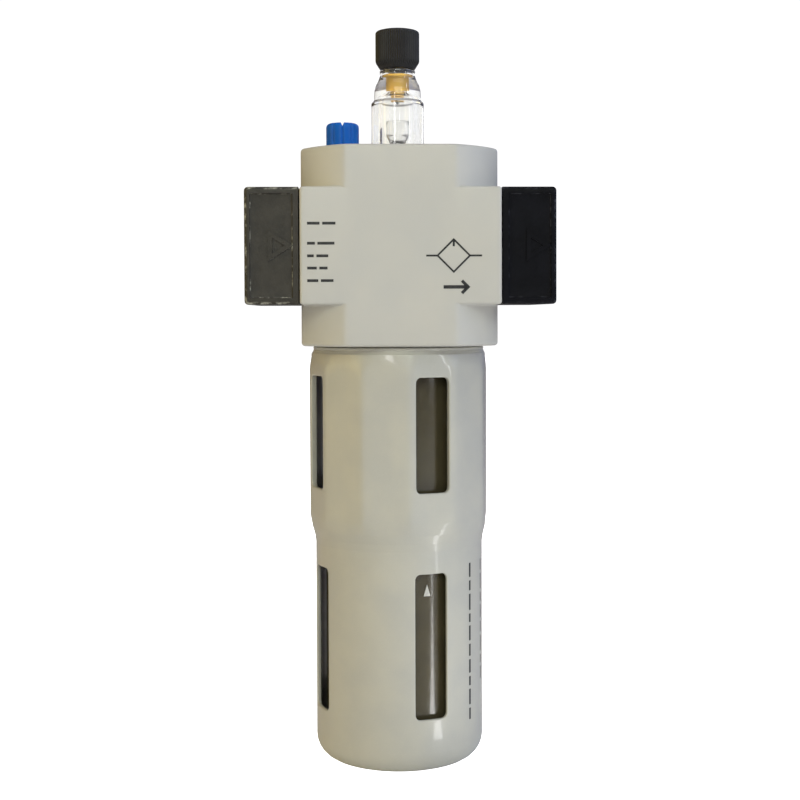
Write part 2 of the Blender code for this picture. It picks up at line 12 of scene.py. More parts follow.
import bmesh
import bpy
import numpy as np
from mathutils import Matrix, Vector


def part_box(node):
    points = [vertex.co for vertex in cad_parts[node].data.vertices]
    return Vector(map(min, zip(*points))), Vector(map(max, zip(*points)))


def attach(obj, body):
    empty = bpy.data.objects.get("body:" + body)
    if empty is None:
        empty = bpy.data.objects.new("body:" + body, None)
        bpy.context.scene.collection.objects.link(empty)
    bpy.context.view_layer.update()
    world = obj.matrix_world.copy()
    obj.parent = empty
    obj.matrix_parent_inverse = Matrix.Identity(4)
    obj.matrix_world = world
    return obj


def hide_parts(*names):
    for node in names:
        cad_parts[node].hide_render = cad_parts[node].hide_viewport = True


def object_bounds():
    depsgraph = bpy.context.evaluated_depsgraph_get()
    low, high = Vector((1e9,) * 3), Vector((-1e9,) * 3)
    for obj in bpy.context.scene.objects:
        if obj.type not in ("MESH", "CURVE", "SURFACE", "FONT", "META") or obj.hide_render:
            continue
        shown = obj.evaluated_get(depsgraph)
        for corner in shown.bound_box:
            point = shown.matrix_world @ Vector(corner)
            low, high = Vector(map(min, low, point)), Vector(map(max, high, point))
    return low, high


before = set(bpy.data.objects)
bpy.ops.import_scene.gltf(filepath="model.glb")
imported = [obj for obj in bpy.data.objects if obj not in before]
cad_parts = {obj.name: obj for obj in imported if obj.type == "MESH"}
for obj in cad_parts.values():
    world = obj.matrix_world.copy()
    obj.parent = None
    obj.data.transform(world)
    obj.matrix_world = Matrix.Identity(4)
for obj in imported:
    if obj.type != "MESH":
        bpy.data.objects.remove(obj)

Array = np.ndarray
Surface = tuple[Array, Array]  # points (n, 3) and the quads (m, 4) between them
Corner = tuple[float, float, float]  # radius, height, rounding

MM = 0.001
CAD_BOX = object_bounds()
WELD = 1e-6  # points closer than a micrometre are one
SMOOTH_ANGLE = math.radians(32)
LOG = logging.getLogger("lubricator")


def unit_axis() -> tuple[float, float]:
    """The unit's vertical axis, the middle of the body's box, as (x, y)."""
    low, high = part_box("body_housing")
    return (low.x + high.x) / 2, (low.y + high.y) / 2


AXIS = unit_axis()
FRONT_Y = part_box("body_housing")[0].y + 0.02 * MM  # where the marks are printed, a hair inside the front face


# ---------------------------------------------------------------- surfaces

def lattice(rows: int, columns: int, close_rows: bool = False, close_columns: bool = True) -> Array:
    """Quads of a grid whose point (i, j) has the index i * columns + j.

    Args:
        rows: points down the grid.
        columns: points across it.
        close_rows: whether the last row joins the first.
        close_columns: whether the last column joins the first.

    Returns:
        Corner indices, four to a quad. The face looks along (down the rows) x (across the columns).
    """
    down = np.arange(rows if close_rows else rows - 1)
    across = np.arange(columns if close_columns else columns - 1)
    i, j = (grid.ravel() for grid in np.meshgrid(down, across, indexing="ij"))
    below, right = (i + 1) % rows, (j + 1) % columns
    return np.stack([i * columns + j, below * columns + j, below * columns + right, i * columns + right], 1)


def rounded(corners: Sequence[Corner], closed: bool = False, steps: int = 5) -> Array:
    """A profile of straight sides with an arc at each corner.

    The arc of radius c touches both sides at c / tan(half the corner) from it, and its points are spread
    evenly in angle between those two touching points.

    Args:
        corners: (radius, height, rounding) in millimetres.
        closed: whether the last corner joins the first.
        steps: straight pieces in each arc.

    Returns:
        Points (radius, height) in metres.
    """
    spots = np.array([corner[:2] for corner in corners]) * MM
    made = []
    last = len(corners) - 1
    for index, (spot, corner) in enumerate(zip(spots, corners)):
        if corner[2] == 0 or (not closed and index in (0, last)):
            made.append(spot[None])
            continue
        before, after = spots[index - 1] - spot, spots[(index + 1) % len(spots)] - spot
        before, after = before / np.linalg.norm(before), after / np.linalg.norm(after)
        opening = math.acos(float(np.clip(before @ after, -1, 1)))
        if math.pi - opening < 0.01:
            made.append(spot[None])
            continue
        radius = corner[2] * MM
        reach = radius / math.tan(opening / 2)
        middle = spot + (before + after) / np.linalg.norm(before + after) * radius / math.sin(opening / 2)
        start, end = spot + before * reach - middle, spot + after * reach - middle
        sweep = math.pi - opening
        share = np.linspace(0, 1, steps + 1)[:, None]
        blend = np.sin((1 - share) * sweep) * start + np.sin(share * sweep) * end
        made.append(middle + blend / math.sin(sweep))
    return np.concatenate(made)


def divided(profile: Array, longest: float, closed: bool = False) -> Array:
    """The same profile with extra points, so that no side is longer than `longest`."""
    ends = np.roll(profile, -1, axis=0) if closed else profile[1:]
    starts = profile if closed else profile[:-1]
    pieces = []
    for start, end in zip(starts, ends):
        count = max(1, math.ceil(float(np.linalg.norm(end - start)) / longest))
        share = np.arange(count)[:, None] / count
        pieces.append(start + (end - start) * share)
    if not closed:
        pieces.append(profile[-1:])
    return np.concatenate(pieces)


def turned(profile: Array, columns: int = 96, centre: tuple[float, float] = AXIS, closed: bool = False,
           shape: Callable[[Array, Array, Array], Array] | None = None) -> Surface:
    """A profile carried round a vertical axis: x = r cos t, y = r sin t, with t from 0 to a full turn.

    Args:
        profile: (radius, height) running down the outer side and up the inner one.
        columns: points round the axis.
        centre: where the axis stands.
        closed: whether the profile is a closed loop.
        shape: gives the radius from (radius, height, angle), for flutes, flats and threads.

    Returns:
        The turned surface.
    """
    angle = np.arange(columns)[None, :] * (2 * np.pi / columns)
    radius, height = profile[:, :1], profile[:, 1:]
    radius = shape(radius, height, angle) if shape else radius * np.ones_like(angle)
    x = centre[0] + radius * np.cos(angle)
    y = centre[1] + radius * np.sin(angle)
    points = np.stack([x, y, height * np.ones_like(angle)], -1).reshape(-1, 3)
    return points, lattice(len(profile), columns, closed)


def along_x(surface: Surface, y: float = 0.0, z: float = 0.0, side: int = 1) -> Surface:
    """A surface turned about Z, laid over so that its axis runs along X at height z, on one side."""
    points, quads = surface
    laid = np.stack([points[:, 2] * side, points[:, 0] + y, points[:, 1] + z], -1)
    return laid, quads


def ring(major: float, minor: float, height: float, centre: tuple[float, float] = AXIS) -> Surface:
    """A torus: a circle of radius `minor` carried round at radius `major`, all in millimetres."""
    angle = -np.arange(20) * (2 * np.pi / 20)
    section = np.stack([major + minor * np.cos(angle), height + minor * np.sin(angle)], -1) * MM
    return turned(section, 120, centre, closed=True)


def rounded_box(half: tuple[float, float, float], centre: tuple[float, float, float], rounding: float,
                square_end: int = 0) -> Surface:
    """A box with round edges, in metres.

    A point q on the surface of the plain box is pulled in to the box that is smaller by the rounding, and
    pushed back out by the rounding along the line between the two. At a square end (-1 or 1 along x) the box
    is made longer by the rounding, and its points are pressed flat on the end's plane for sharp edges there.
    """
    half_size = np.array(half) + np.array([rounding / 2 if square_end else 0.0, 0.0, 0.0])
    inner = half_size - rounding
    turn = rounding * np.tan(np.linspace(0, np.pi / 4, 5))
    middles = [np.linspace(rounding - h, h - rounding, 9) for h in half_size]
    lines = [np.unique(np.concatenate([turn - h, middle, h - turn]).round(9))
             for h, middle in zip(half_size, middles)]
    points, quads, count = [], [], 0
    for axis in range(3):
        first, second = (axis + 1) % 3, (axis + 2) % 3
        u, v = np.meshgrid(lines[first], lines[second], indexing="ij")
        for sign in (1, -1):
            spot = np.empty((u.size, 3))
            spot[:, axis] = sign * half_size[axis]
            spot[:, first], spot[:, second] = u.ravel(), v.ravel()
            faces = lattice(len(lines[first]), len(lines[second]), close_columns=False)
            points.append(spot)
            quads.append((faces if sign > 0 else faces[:, ::-1]) + count)
            count += len(spot)
    spots = np.concatenate(points)
    core = np.clip(spots, -inner, inner)
    away = spots - core
    spots = core + rounding * away / np.linalg.norm(away, axis=1, keepdims=True)
    spots[:, 0] += square_end * rounding / 2
    spots[:, 0] = np.clip(spots[:, 0], -half[0], half[0])
    return spots + np.array(centre), np.concatenate(quads)


def stroke(path: Sequence[tuple[float, float]], width: float, thick: float,
           place: Callable[[Array, Array, Array], Array], closed: bool = False) -> Surface:
    """A line of even width along a path, as a thin strip with a front, a back and edges.

    Each path point is moved to both sides along its mitre: the sum of the normals of the two sides that meet
    there, scaled so that the strip keeps its width.

    Args:
        path: (across, up) in millimetres.
        width: of the line, in millimetres.
        thick: thickness, in millimetres.
        place: turns (across, up, out) in metres to points on the object.
        closed: whether the path is a loop.

    Returns:
        The strip.
    """
    spots = np.array(path, float)
    ahead = np.roll(spots, -1, axis=0) - spots
    if not closed:
        ahead[-1] = ahead[-2]
    ahead /= np.linalg.norm(ahead, axis=1, keepdims=True)
    behind = np.roll(ahead, 1, axis=0)
    if not closed:
        behind[0] = ahead[0]
    mitre = np.stack([-(ahead + behind)[:, 1], (ahead + behind)[:, 0]], -1)
    mitre *= width / np.sum(mitre * mitre, axis=1, keepdims=True)
    left, right = spots + mitre, spots - mitre
    section = [(left, 0.0), (left, thick), (right, thick), (right, 0.0)]
    points = np.concatenate([place(side[:, 0] * MM, side[:, 1] * MM, np.full(len(side), out * MM))
                             for side, out in section])
    count = len(spots)
    quads = lattice(4, count, close_rows=True, close_columns=closed)
    if not closed:
        ends = np.array([[0, count, 2 * count, 3 * count],
                         [4 * count - 1, 3 * count - 1, 2 * count - 1, count - 1]])
        quads = np.concatenate([quads, ends])
    return points, quads


def joined(surfaces: Sequence[Surface]) -> Surface:
    """Several surfaces as one."""
    starts = np.cumsum([0] + [len(points) for points, _ in surfaces[:-1]])
    quads = [faces + start for (_, faces), start in zip(surfaces, starts)]
    return np.concatenate([points for points, _ in surfaces]), np.concatenate(quads)


def make_object(name: str, surface: Surface) -> bpy.types.Object:
    """An object from a surface: its doubles are merged and its faces are turned outwards."""
    mesh = bpy.data.meshes.new(name)
    mesh.from_pydata(surface[0].tolist(), [], surface[1].tolist())
    shape = bmesh.new()
    shape.from_mesh(mesh)
    bmesh.ops.remove_doubles(shape, verts=shape.verts, dist=WELD)
    if shape.calc_volume(signed=True) < 0:
        bmesh.ops.reverse_faces(shape, faces=shape.faces)
    shape.to_mesh(mesh)
    shape.free()
    made = bpy.data.objects.new(name, mesh)
    bpy.context.scene.collection.objects.link(made)
    return made


def cut(piece: bpy.types.Object, tools: Sequence[Surface], union: bool = False) -> None:
    """Cuts closed surfaces out of a piece, or joins them to it, and applies the result to its mesh."""
    cutters = []
    for index, tool in enumerate(tools):
        cutter = make_object(f"tool_{index}", tool)
        change = piece.modifiers.new(cutter.name, "BOOLEAN")
        change.operation = "UNION" if union else "DIFFERENCE"
        change.solver = "EXACT"
        change.object = cutter
        cutters.append(cutter)
    graph = bpy.context.evaluated_depsgraph_get()
    mesh = bpy.data.meshes.new_from_object(piece.evaluated_get(graph))
    piece.modifiers.clear()
    piece.data = mesh
    for cutter in cutters:
        bpy.data.objects.remove(cutter)


def drill(radius: float, low: float, high: float, lip: float = 0.0, columns: int = 72) -> Array:
    """Profile of a bore's cutter from `low` to `high` in mm, whose mouth at `high` widens by a chamfer."""
    over = 1.5
    corners = [(0, high + over, 0), (radius + lip, high + over, 0), (radius + lip, high, 0),
               (radius, high - lip, 0), (radius, low, 0), (0, low, 0)]
    return rounded(corners)


# ---------------------------------------------------------------- finishes

def linear(colour: str) -> tuple[float, float, float, float]:
    """An sRGB hex colour as linear red, green, blue and alpha."""
    parts = np.array([int(colour[i:i + 2], 16) for i in (1, 3, 5)]) / 255
    values = np.where(parts <= 0.04045, parts / 12.92, ((parts + 0.055) / 1.055) ** 2.4)
    return (*(float(value) for value in values), 1.0)


def add_node(tree: bpy.types.NodeTree, kind: str, inputs: dict | None = None, **settings) -> bpy.types.Node:
    """Adds a node.

    Args:
        tree: the node tree.
        kind: the node's type.
        inputs: input name or number to a value, or to the socket that feeds it.
        settings: the node's own properties.

    Returns:
        The node.
    """
    node = tree.nodes.new(kind)
    for name, value in settings.items():
        setattr(node, name, value)
    for name, value in (inputs or {}).items():
        socket = node.inputs[name]
        if isinstance(value, bpy.types.NodeSocket):
            tree.links.new(value, socket)
        else:
            socket.default_value = value
    return node


def per_metre(size: float) -> float:
    """The scale of a noise pattern whose blotches measure `size` millimetres."""
    return 1 / (size * MM)


@dataclass(frozen=True)
class Finish:
    """A surface: its colour, a second colour it drifts to, its gloss, and its grain's size and height."""

    name: str
    colour: str
    drift: str
    roughness: float
    metallic: float = 0.0
    ior: float = 1.5
    coat: float = 0.0
    coat_roughness: float = 0.03
    grain: float = 0.5  # mm
    bump: float = 0.01  # mm
    blotch: float = 9.0  # mm
    gloss_spread: float = 0.06
    transmission: float = 0.0
    sheen: float = 0.0
    specular: float = 0.5

    def make(self) -> bpy.types.Material:
        """The material, made once."""
        known = bpy.data.materials.get(self.name)
        if known:
            return known
        made = bpy.data.materials.new(self.name)
        made.use_nodes = True
        tree = made.node_tree
        shader = tree.nodes["Principled BSDF"]
        fixed = {"Metallic": self.metallic, "Coat Weight": self.coat, "Coat Roughness": self.coat_roughness,
                 "Transmission Weight": self.transmission, "Sheen Weight": self.sheen,
                 "Specular IOR Level": self.specular}
        if self.metallic == 0:
            fixed["IOR"] = self.ior
        for name, value in fixed.items():
            shader.inputs[name].default_value = value
        where = add_node(tree, "ShaderNodeTexCoord").outputs["Object"]
        self.dress(tree, shader, where)
        return made

    def mix(self, tree: bpy.types.NodeTree, factor: bpy.types.NodeSocket, first,
            second) -> bpy.types.NodeSocket:
        """Two colours mixed by a factor; each is a socket or a hex value."""
        ends = [linear(end) if isinstance(end, str) else end for end in (first, second)]
        node = add_node(tree, "ShaderNodeMix", {0: factor, 6: ends[0], 7: ends[1]}, data_type="RGBA")
        return node.outputs[2]

    def range(self, tree: bpy.types.NodeTree, value: bpy.types.NodeSocket, low: float, high: float,
              to_low: float = 0.0, to_high: float = 1.0) -> bpy.types.NodeSocket:
        """A value moved from one range to another, held inside it."""
        node = add_node(tree, "ShaderNodeMapRange", {"Value": value, "From Min": low, "From Max": high,
                                                     "To Min": to_low, "To Max": to_high})
        return node.outputs["Result"]

    def noise(self, tree: bpy.types.NodeTree, where: bpy.types.NodeSocket, size: float,
              detail: float = 3.0) -> bpy.types.NodeSocket:
        """Noise with blotches of a size in millimetres."""
        node = add_node(tree, "ShaderNodeTexNoise",
                        {"Vector": where, "Scale": per_metre(size), "Detail": detail})
        return node.outputs["Fac"]

    def dress(self, tree: bpy.types.NodeTree, shader: bpy.types.Node, where: bpy.types.NodeSocket) -> None:
        """Links the colour drift, the uneven gloss and the grain."""
        drift = self.range(tree, self.noise(tree, where, self.blotch), 0.35, 0.65)
        tree.links.new(self.mix(tree, drift, self.colour, self.drift), shader.inputs["Base Color"])
        uneven = self.noise(tree, where, self.blotch / 3)
        gloss = self.range(tree, uneven, 0.3, 0.7, self.roughness - self.gloss_spread / 2,
                           self.roughness + self.gloss_spread / 2)
        tree.links.new(gloss, shader.inputs["Roughness"])
        self.relief(tree, shader, self.noise(tree, where, self.grain, 2.0))

    def relief(self, tree: bpy.types.NodeTree, shader: bpy.types.Node, height: bpy.types.NodeSocket) -> None:
        """Bump from a height of 0 to 1."""
        bump = add_node(tree, "ShaderNodeBump",
                        {"Height": height, "Distance": self.bump * MM, "Strength": 1.0})
        tree.links.new(bump.outputs["Normal"], shader.inputs["Normal"])


@dataclass(frozen=True)
class SprayedPaint(Finish):
    """Sprayed paint: orange peel, and pale flecks of pigment under the gloss."""

    fleck: str = "#e6e4da"
    fleck_size: float = 0.45  # mm
    fleck_share: float = 0.5

    def dress(self, tree: bpy.types.NodeTree, shader: bpy.types.Node, where: bpy.types.NodeSocket) -> None:
        """Adds the flecks to the drifting colour."""
        super().dress(tree, shader, where)
        base = shader.inputs["Base Color"].links[0].from_socket
        cells = add_node(tree, "ShaderNodeTexVoronoi", {"Vector": where, "Scale": per_metre(self.fleck_size)})
        near = self.range(tree, cells.outputs["Distance"], 0.05, 0.22, self.fleck_share, 0.0)
        tree.links.new(self.mix(tree, near, base, self.fleck), shader.inputs["Base Color"])


@dataclass(frozen=True)
class ChippedAndLitPaint(Finish):
    """Black paint on a die casting, with lighter patches on its round edges and a fine sandy grain; the patches
    are chipped paint, and on the inlet plate also a painted highlight.
    """

    # Edge colour and its share: chipped paint, and on the inlet plate a painted highlight too.
    chip_and_gleam: str = "#77766c"
    chip_and_gleam_share: float = 0.5

    def dress(self, tree: bpy.types.NodeTree, shader: bpy.types.Node, where: bpy.types.NodeSocket) -> None:
        """Lightens the colour where the surface turns away from all three axes, in patches: chipped edges, and
        where the edge colour is light, a painted highlight.
        """
        super().dress(tree, shader, where)
        base = shader.inputs["Base Color"].links[0].from_socket
        facing = add_node(tree, "ShaderNodeTexCoord").outputs["Normal"]
        parts = add_node(tree, "ShaderNodeSeparateXYZ", {0: facing}).outputs
        largest = None
        for part in parts:
            size = add_node(tree, "ShaderNodeMath", {0: part}, operation="ABSOLUTE").outputs[0]
            largest = size if largest is None else add_node(tree, "ShaderNodeMath", {0: largest, 1: size},
                                                            operation="MAXIMUM").outputs[0]
        edge = self.range(tree, largest, 0.99, 0.86)
        patches = self.range(tree, self.noise(tree, where, 1.6, 5.0), 0.5, 0.68, 0.0, self.chip_and_gleam_share)
        # Painted highlight and chipped paint on the round edges.
        chipped_and_lit = add_node(tree, "ShaderNodeMath", {0: edge, 1: patches}, operation="MULTIPLY").outputs[0]
        tree.links.new(self.mix(tree, chipped_and_lit, base, self.chip_and_gleam), shader.inputs["Base Color"])


@dataclass(frozen=True)
class TurnedMetal(Finish):
    """Metal off the lathe: fine tool lines round the axis, slightly uneven."""

    line: float = 0.22  # mm from one tool line to the next

    def dress(self, tree: bpy.types.NodeTree, shader: bpy.types.Node, where: bpy.types.NodeSocket) -> None:
        """Makes the bump from bands along the axis instead of grain."""
        super().dress(tree, shader, where)
        bands = add_node(tree, "ShaderNodeTexWave", {"Vector": where, "Scale": per_metre(self.line) / 20,
                                                     "Distortion": 0.6, "Detail": 1.0}, bands_direction="Z")
        self.relief(tree, shader, bands.outputs["Fac"])


@dataclass(frozen=True)
class ClearMoulding(Finish):
    """Clear moulded plastic: faint flow waves, a haze and tiny specks that scatter a little."""

    speck: str = "#8d8a78"
    speck_size: float = 1.3  # mm
    speck_share: float = 0.0

    def dress(self, tree: bpy.types.NodeTree, shader: bpy.types.Node, where: bpy.types.NodeSocket) -> None:
        """Adds specks that make the surface rougher and tint it."""
        super().dress(tree, shader, where)
        if not self.speck_share:
            return
        base = shader.inputs["Base Color"].links[0].from_socket
        gloss = shader.inputs["Roughness"].links[0].from_socket
        spots = self.range(tree, self.noise(tree, where, self.speck_size, 6.0), 0.56, 0.64, 0.0,
                           self.speck_share)
        tree.links.new(self.mix(tree, spots, base, self.speck), shader.inputs["Base Color"])
        rough = add_node(tree, "ShaderNodeMath", {0: gloss, 1: spots}, operation="ADD").outputs[0]
        tree.links.new(rough, shader.inputs["Roughness"])


# Satin paint on a die-cast zinc body: even, warm grey, the faint orange peel only shows in the highlights.
BODY_PAINT = SprayedPaint("satin_paint_on_die_casting", "#c3c2ba", "#bfbfb9", 0.42, grain=0.7, bump=0.006,
                          blotch=14, fleck="#cbcac2", fleck_share=0.25)
# Gloss paint on a steel guard: pearly, with a clear coat that carries sharp reflections over a soft base.
GUARD_PAINT = SprayedPaint("gloss_enamel_on_steel", "#bdbcb0", "#b6b6ad", 0.38, coat=0.55,
                           coat_roughness=0.09,
                           grain=0.9, bump=0.007, blotch=11, fleck="#d2d0c4", fleck_share=0.45)
# Black enamel on a rough die casting, as a lit and a shaded copy: the inlet plate's lighter, warmer colour,
# brighter gloss and pale edge patches are painted light from the left with some chipped paint; the outlet
# plate's bluish near-black is painted shade.
LIT_BLACK_PAINT = ChippedAndLitPaint("black_enamel_painted_lit", "#2b2922", "#35322a", 0.5, grain=0.6, bump=0.03, blotch=3.5,
                        gloss_spread=0.2, specular=0.4, chip_and_gleam_share=1.0, chip_and_gleam="#a3a294")
SHADED_BLACK_PAINT = ChippedAndLitPaint("black_enamel", "#08090e", "#0d0e14", 0.5, grain=0.6, bump=0.02, blotch=4,
                        gloss_spread=0.2, specular=0.1, chip_and_gleam="#4a4b52", chip_and_gleam_share=0.5)
# Transparent polyamide, polished mould: water-clear with a warm edge.
CLEAR_DOME = ClearMoulding("transparent_polyamide", "#fcfcfa", "#f8f8f5", 0.02, ior=1.5, transmission=0.95,
                           grain=3.0, bump=0.004, blotch=8, gloss_spread=0.02)
# The drip cup inside the dome is moulded from the same stock, thinner and quite clear.
CLEAR_CUP = ClearMoulding("clear_polyamide_cup", "#ffffff", "#fcfcfa", 0.01, ior=1.45, transmission=1.0,
                          grain=3.0, bump=0.002, blotch=8, gloss_spread=0.01)
# Polycarbonate bowl, clear but for a 40 % diffuse share in dark olive that is painted shade, the dark inside of
# the guard; droplets and specks on the wall.
BOWL_PAINTED_SHADE = ClearMoulding("polycarbonate_painted_shade", "#756c50", "#665e45", 0.12, ior=1.58, transmission=0.6,
                           grain=4.0, bump=0.004, blotch=7, gloss_spread=0.1, speck_share=0.08)
# Free-cutting brass, turned and lightly polished: warm yellow with fine rings.
BRASS = TurnedMetal("turned_brass", "#efc258", "#e0b048", 0.38, metallic=0.8, grain=0.4, bump=0.006)
STEEL = TurnedMetal("zinc_plated_steel", "#a9abb0", "#96989e", 0.3, metallic=1.0, grain=0.4, bump=0.005)
# Sintered bronze: packed grains that scatter the light, so it looks dull and rough.
SINTER = Finish("sintered_bronze", "#7a5c33", "#5f4526", 0.75, metallic=1.0, grain=0.35, bump=0.12, blotch=2)
# Glass-filled polyamide knob: matt black with a light sheen on the spline crests.
KNOB_BLACK = Finish("moulded_black_polyamide", "#19191a", "#202021", 0.5, grain=0.3, bump=0.01, blotch=4,
                    sheen=0.05, specular=0.35)
# Moulded blue polyoxymethylene: deep, even and waxy.
PLUG_BLUE = Finish("moulded_blue_acetal", "#0464c6", "#045cba", 0.36, grain=0.5, bump=0.006, blotch=5,
                   specular=0.25)
RUBBER = Finish("nitrile_rubber", "#161616", "#1f1f1e", 0.6, grain=0.25, bump=0.012, blotch=3, sheen=0.1)
WHITE_ACETAL = Finish("moulded_white_acetal", "#d6d5cd", "#cccbc2", 0.42, grain=0.5, bump=0.008, blotch=6)
# Pad-printed ink: a thin black film, a little broken by the paint below it.
INK = Finish("black_printing_ink", "#17181a", "#2a2b2c", 0.5, grain=0.3, bump=0.004, blotch=1.2)
FLOOR_PAPER = Finish("pale_studio_paper", "#f7f7f6", "#f4f4f2", 0.9, grain=2, bump=0.02, blotch=80)


class Slot(Enum):
    """The record's material slots."""

    BODY = "body_paint"
    GUARD = "guard_paint"
    BLACK = "plate_black"
    STEEL = "steel"
    CLEAR = "clear_plastic"
    SHADED_CLEAR = "oil_clear"
    BRASS = "brass"
    KNOB = "knob_black"
    BLUE = "plug_blue"
    SEAL = "seal_rubber"
    WHITE = "insert_white"


def install(piece: bpy.types.Object, finish: Finish, body: str, slot: Slot, *nodes: str,
            smooth: float = SMOOTH_ANGLE) -> bpy.types.Object:
    """Dresses a finished piece, makes it ride on a body, and lets it stand for its CAD nodes.

    Args:
        piece: the object.
        finish: its surface.
        body: the body that it moves with.
        slot: the record's slot for its finish; not used.
        nodes: the CAD nodes that it replaces.
        smooth: edges sharper than this stay sharp.

    Returns:
        The piece.
    """
    piece.data.materials.clear()
    piece.data.materials.append(finish.make())
    piece.data.shade_smooth()
    piece.data.set_sharp_from_angle(angle=smooth)
    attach(piece, body)
    if nodes:
        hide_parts(*nodes)
    shape = bmesh.new()
    shape.from_mesh(piece.data)
    open_edges = sum(1 for edge in shape.edges if not edge.is_manifold)
    shape.free()
    LOG.info("%s: %d faces, %d open edges", piece.name, len(piece.data.polygons), open_edges)
    return piece


def redress(finish: Finish, *nodes: str) -> None:
    """Gives CAD nodes whose shape is kept a finish."""
    for node in nodes:
        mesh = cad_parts[node].data
        mesh.materials.clear()
        mesh.materials.append(finish.make())
        LOG.info("%s: kept, %s", node, finish.name)


# ---------------------------------------------------------------- sub-assemblies

@dataclass
class Housing:
    """The die-cast body: a round column cut flat on four sides, with a square port block round its middle."""

    half: float = 27.5 * MM
    column_radius: float = 31.4 * MM
    half_height: float = 27.5 * MM
    block_height: float = 16.0 * MM
    edge: float = 1.0 * MM
    block_edge: float = 0.8 * MM
    inner_fillet: float = 0.7 * MM
    corner_power: float = 70.0
    column_power: float = 150.0

    def square(self, angle: Array, inset: float) -> Array:
        """Radius of the square plan: h / (|cos|^p + |sin|^p)^(1/p), so the corners are slightly round."""
        spread = np.abs(np.cos(angle)) ** self.corner_power + np.abs(np.sin(angle)) ** self.corner_power
        return (self.half - inset) / spread ** (1 / self.corner_power)

    def column(self, angle: Array, inset: float) -> Array:
        """Radius of the column plan: the smaller of circle and square, eased as (a^-q + b^-q)^(-1/q)."""
        flat = (self.half - inset) / np.maximum(np.abs(np.cos(angle)), np.abs(np.sin(angle)))
        flat_share = (flat / (self.column_radius - inset)) ** -self.column_power
        return (self.column_radius - inset) * (1 + flat_share) ** (-1 / self.column_power)

    def angles(self) -> Array:
        """Angles round the plan, closer together where the flats and the corners turn."""
        even = np.arange(0, 360, 3.0)
        near = np.arange(-2.0, 2.01, 0.4)
        edge = math.degrees(math.acos(self.half / self.column_radius))
        turns = [quarter + offset for quarter in (0, 90, 180, 270) for offset in (-edge, edge, 45)]
        close = np.concatenate([turn + near for turn in turns]) % 360
        return np.radians(np.unique(np.concatenate([even, close]).round(4)))

    def skin(self) -> Surface:
        """Stacked plans: at each height the radius is the larger of column and block, with rounded rims."""
        angle = self.angles()
        sweep = np.linspace(0, np.pi / 2, 6)
        rows: list[tuple[float, Array]] = [(self.half_height, np.zeros_like(angle))]
        for turn in sweep:
            inset = self.edge * (1 - math.sin(turn))
            rows.append((self.half_height - self.edge * (1 - math.cos(turn)), self.column(angle, inset)))
        column = self.column(angle, 0.0)
        ledge = np.maximum(self.square(angle, self.block_edge), column)
        for turn in sweep:
            rise = self.inner_fillet * (1 - math.sin(turn))
            reach = self.inner_fillet * (1 - math.cos(turn))
            rows.append((self.block_height + rise, np.minimum(ledge, column + reach)))
        for turn in sweep:
            inset = self.block_edge * (1 - math.sin(turn))
            height = self.block_height - self.block_edge * (1 - math.cos(turn))
            rows.append((height, np.maximum(self.square(angle, inset), column)))
        rows += [(-height, radius) for height, radius in reversed(rows)]
        height = np.array([row[0] for row in rows])[:, None]
        radius = np.stack([row[1] for row in rows])
        x, y = AXIS[0] + radius * np.cos(angle), AXIS[1] + radius * np.sin(angle)
        points = np.stack([x, y, height * np.ones_like(radius)], -1).reshape(-1, 3)
        return points, lattice(len(rows), len(angle))

    def bores(self) -> list[Surface]:
        """Cutters for every bore of the body: sockets, seats, passages and tapped holes."""
        def upright(x: float, y: float, radius: float, low: float, high: float, lip: float = 0.0) -> Surface:
            return turned(drill(radius, low, high, lip), 72, (AXIS[0] + x * MM, AXIS[1] + y * MM))

        socket = rounded([(0, -11, 0), (20.5, -13, 0.2), (20.5, -17, 0), (23.9, -17, 0.2), (23.9, -27.1, 0),
                          (24.3, -27.5, 0), (24.3, -29, 0), (0, -29, 0)])
        socket[0, 1] = socket[1, 1]
        seat = rounded([(0, 29, 0), (8.5, 29, 0), (8.5, 27.5, 0), (8.2, 27.2, 0), (8.2, 20.5, 0.2),
                        (1.95, 20.5, 0), (1.95, 4.0, 0), (0, 4.0, 0)])
        flow = rounded([(0, 29, 0), (8.0, 29, 0), (8.0, -29, 0), (0, -29, 0)])
        cutters = [turned(socket, 120), turned(seat, 96), along_x(turned(flow, 72, (0, 0)), AXIS[1]),
                   upright(-15.9, 0, 4.0, 13.5, 27.5, 0.3),
                   upright(6.5, 12, 2.8, -12, -6), upright(6.5, 12, 2.1, -8, 0),
                   upright(-6.5, -12, 2.6, -12, -5.6)]
        for bore in cutters[4:]:
            bore[0][:, 2] -= 1.5 * MM * (bore[0][:, 2] < -10 * MM)
        tap = rounded([(0, 29, 0), (2.6, 29, 0), (2.3, 27.2, 0), (2.3, 18.2, 0), (0, 17.4, 0)])
        cutters += [along_x(turned(tap, 32, (0, 0)), AXIS[1] + y * MM, z * MM, side)
                    for side in (-1, 1) for y in (-20, 20) for z in (-10, 10)]
        return cutters

    def build(self) -> None:
        """Casts the body and cuts it."""
        body = make_object("cast_body", self.skin())
        cut(body, self.bores())
        install(body, BODY_PAINT, "housing", Slot.BODY, "body_housing")


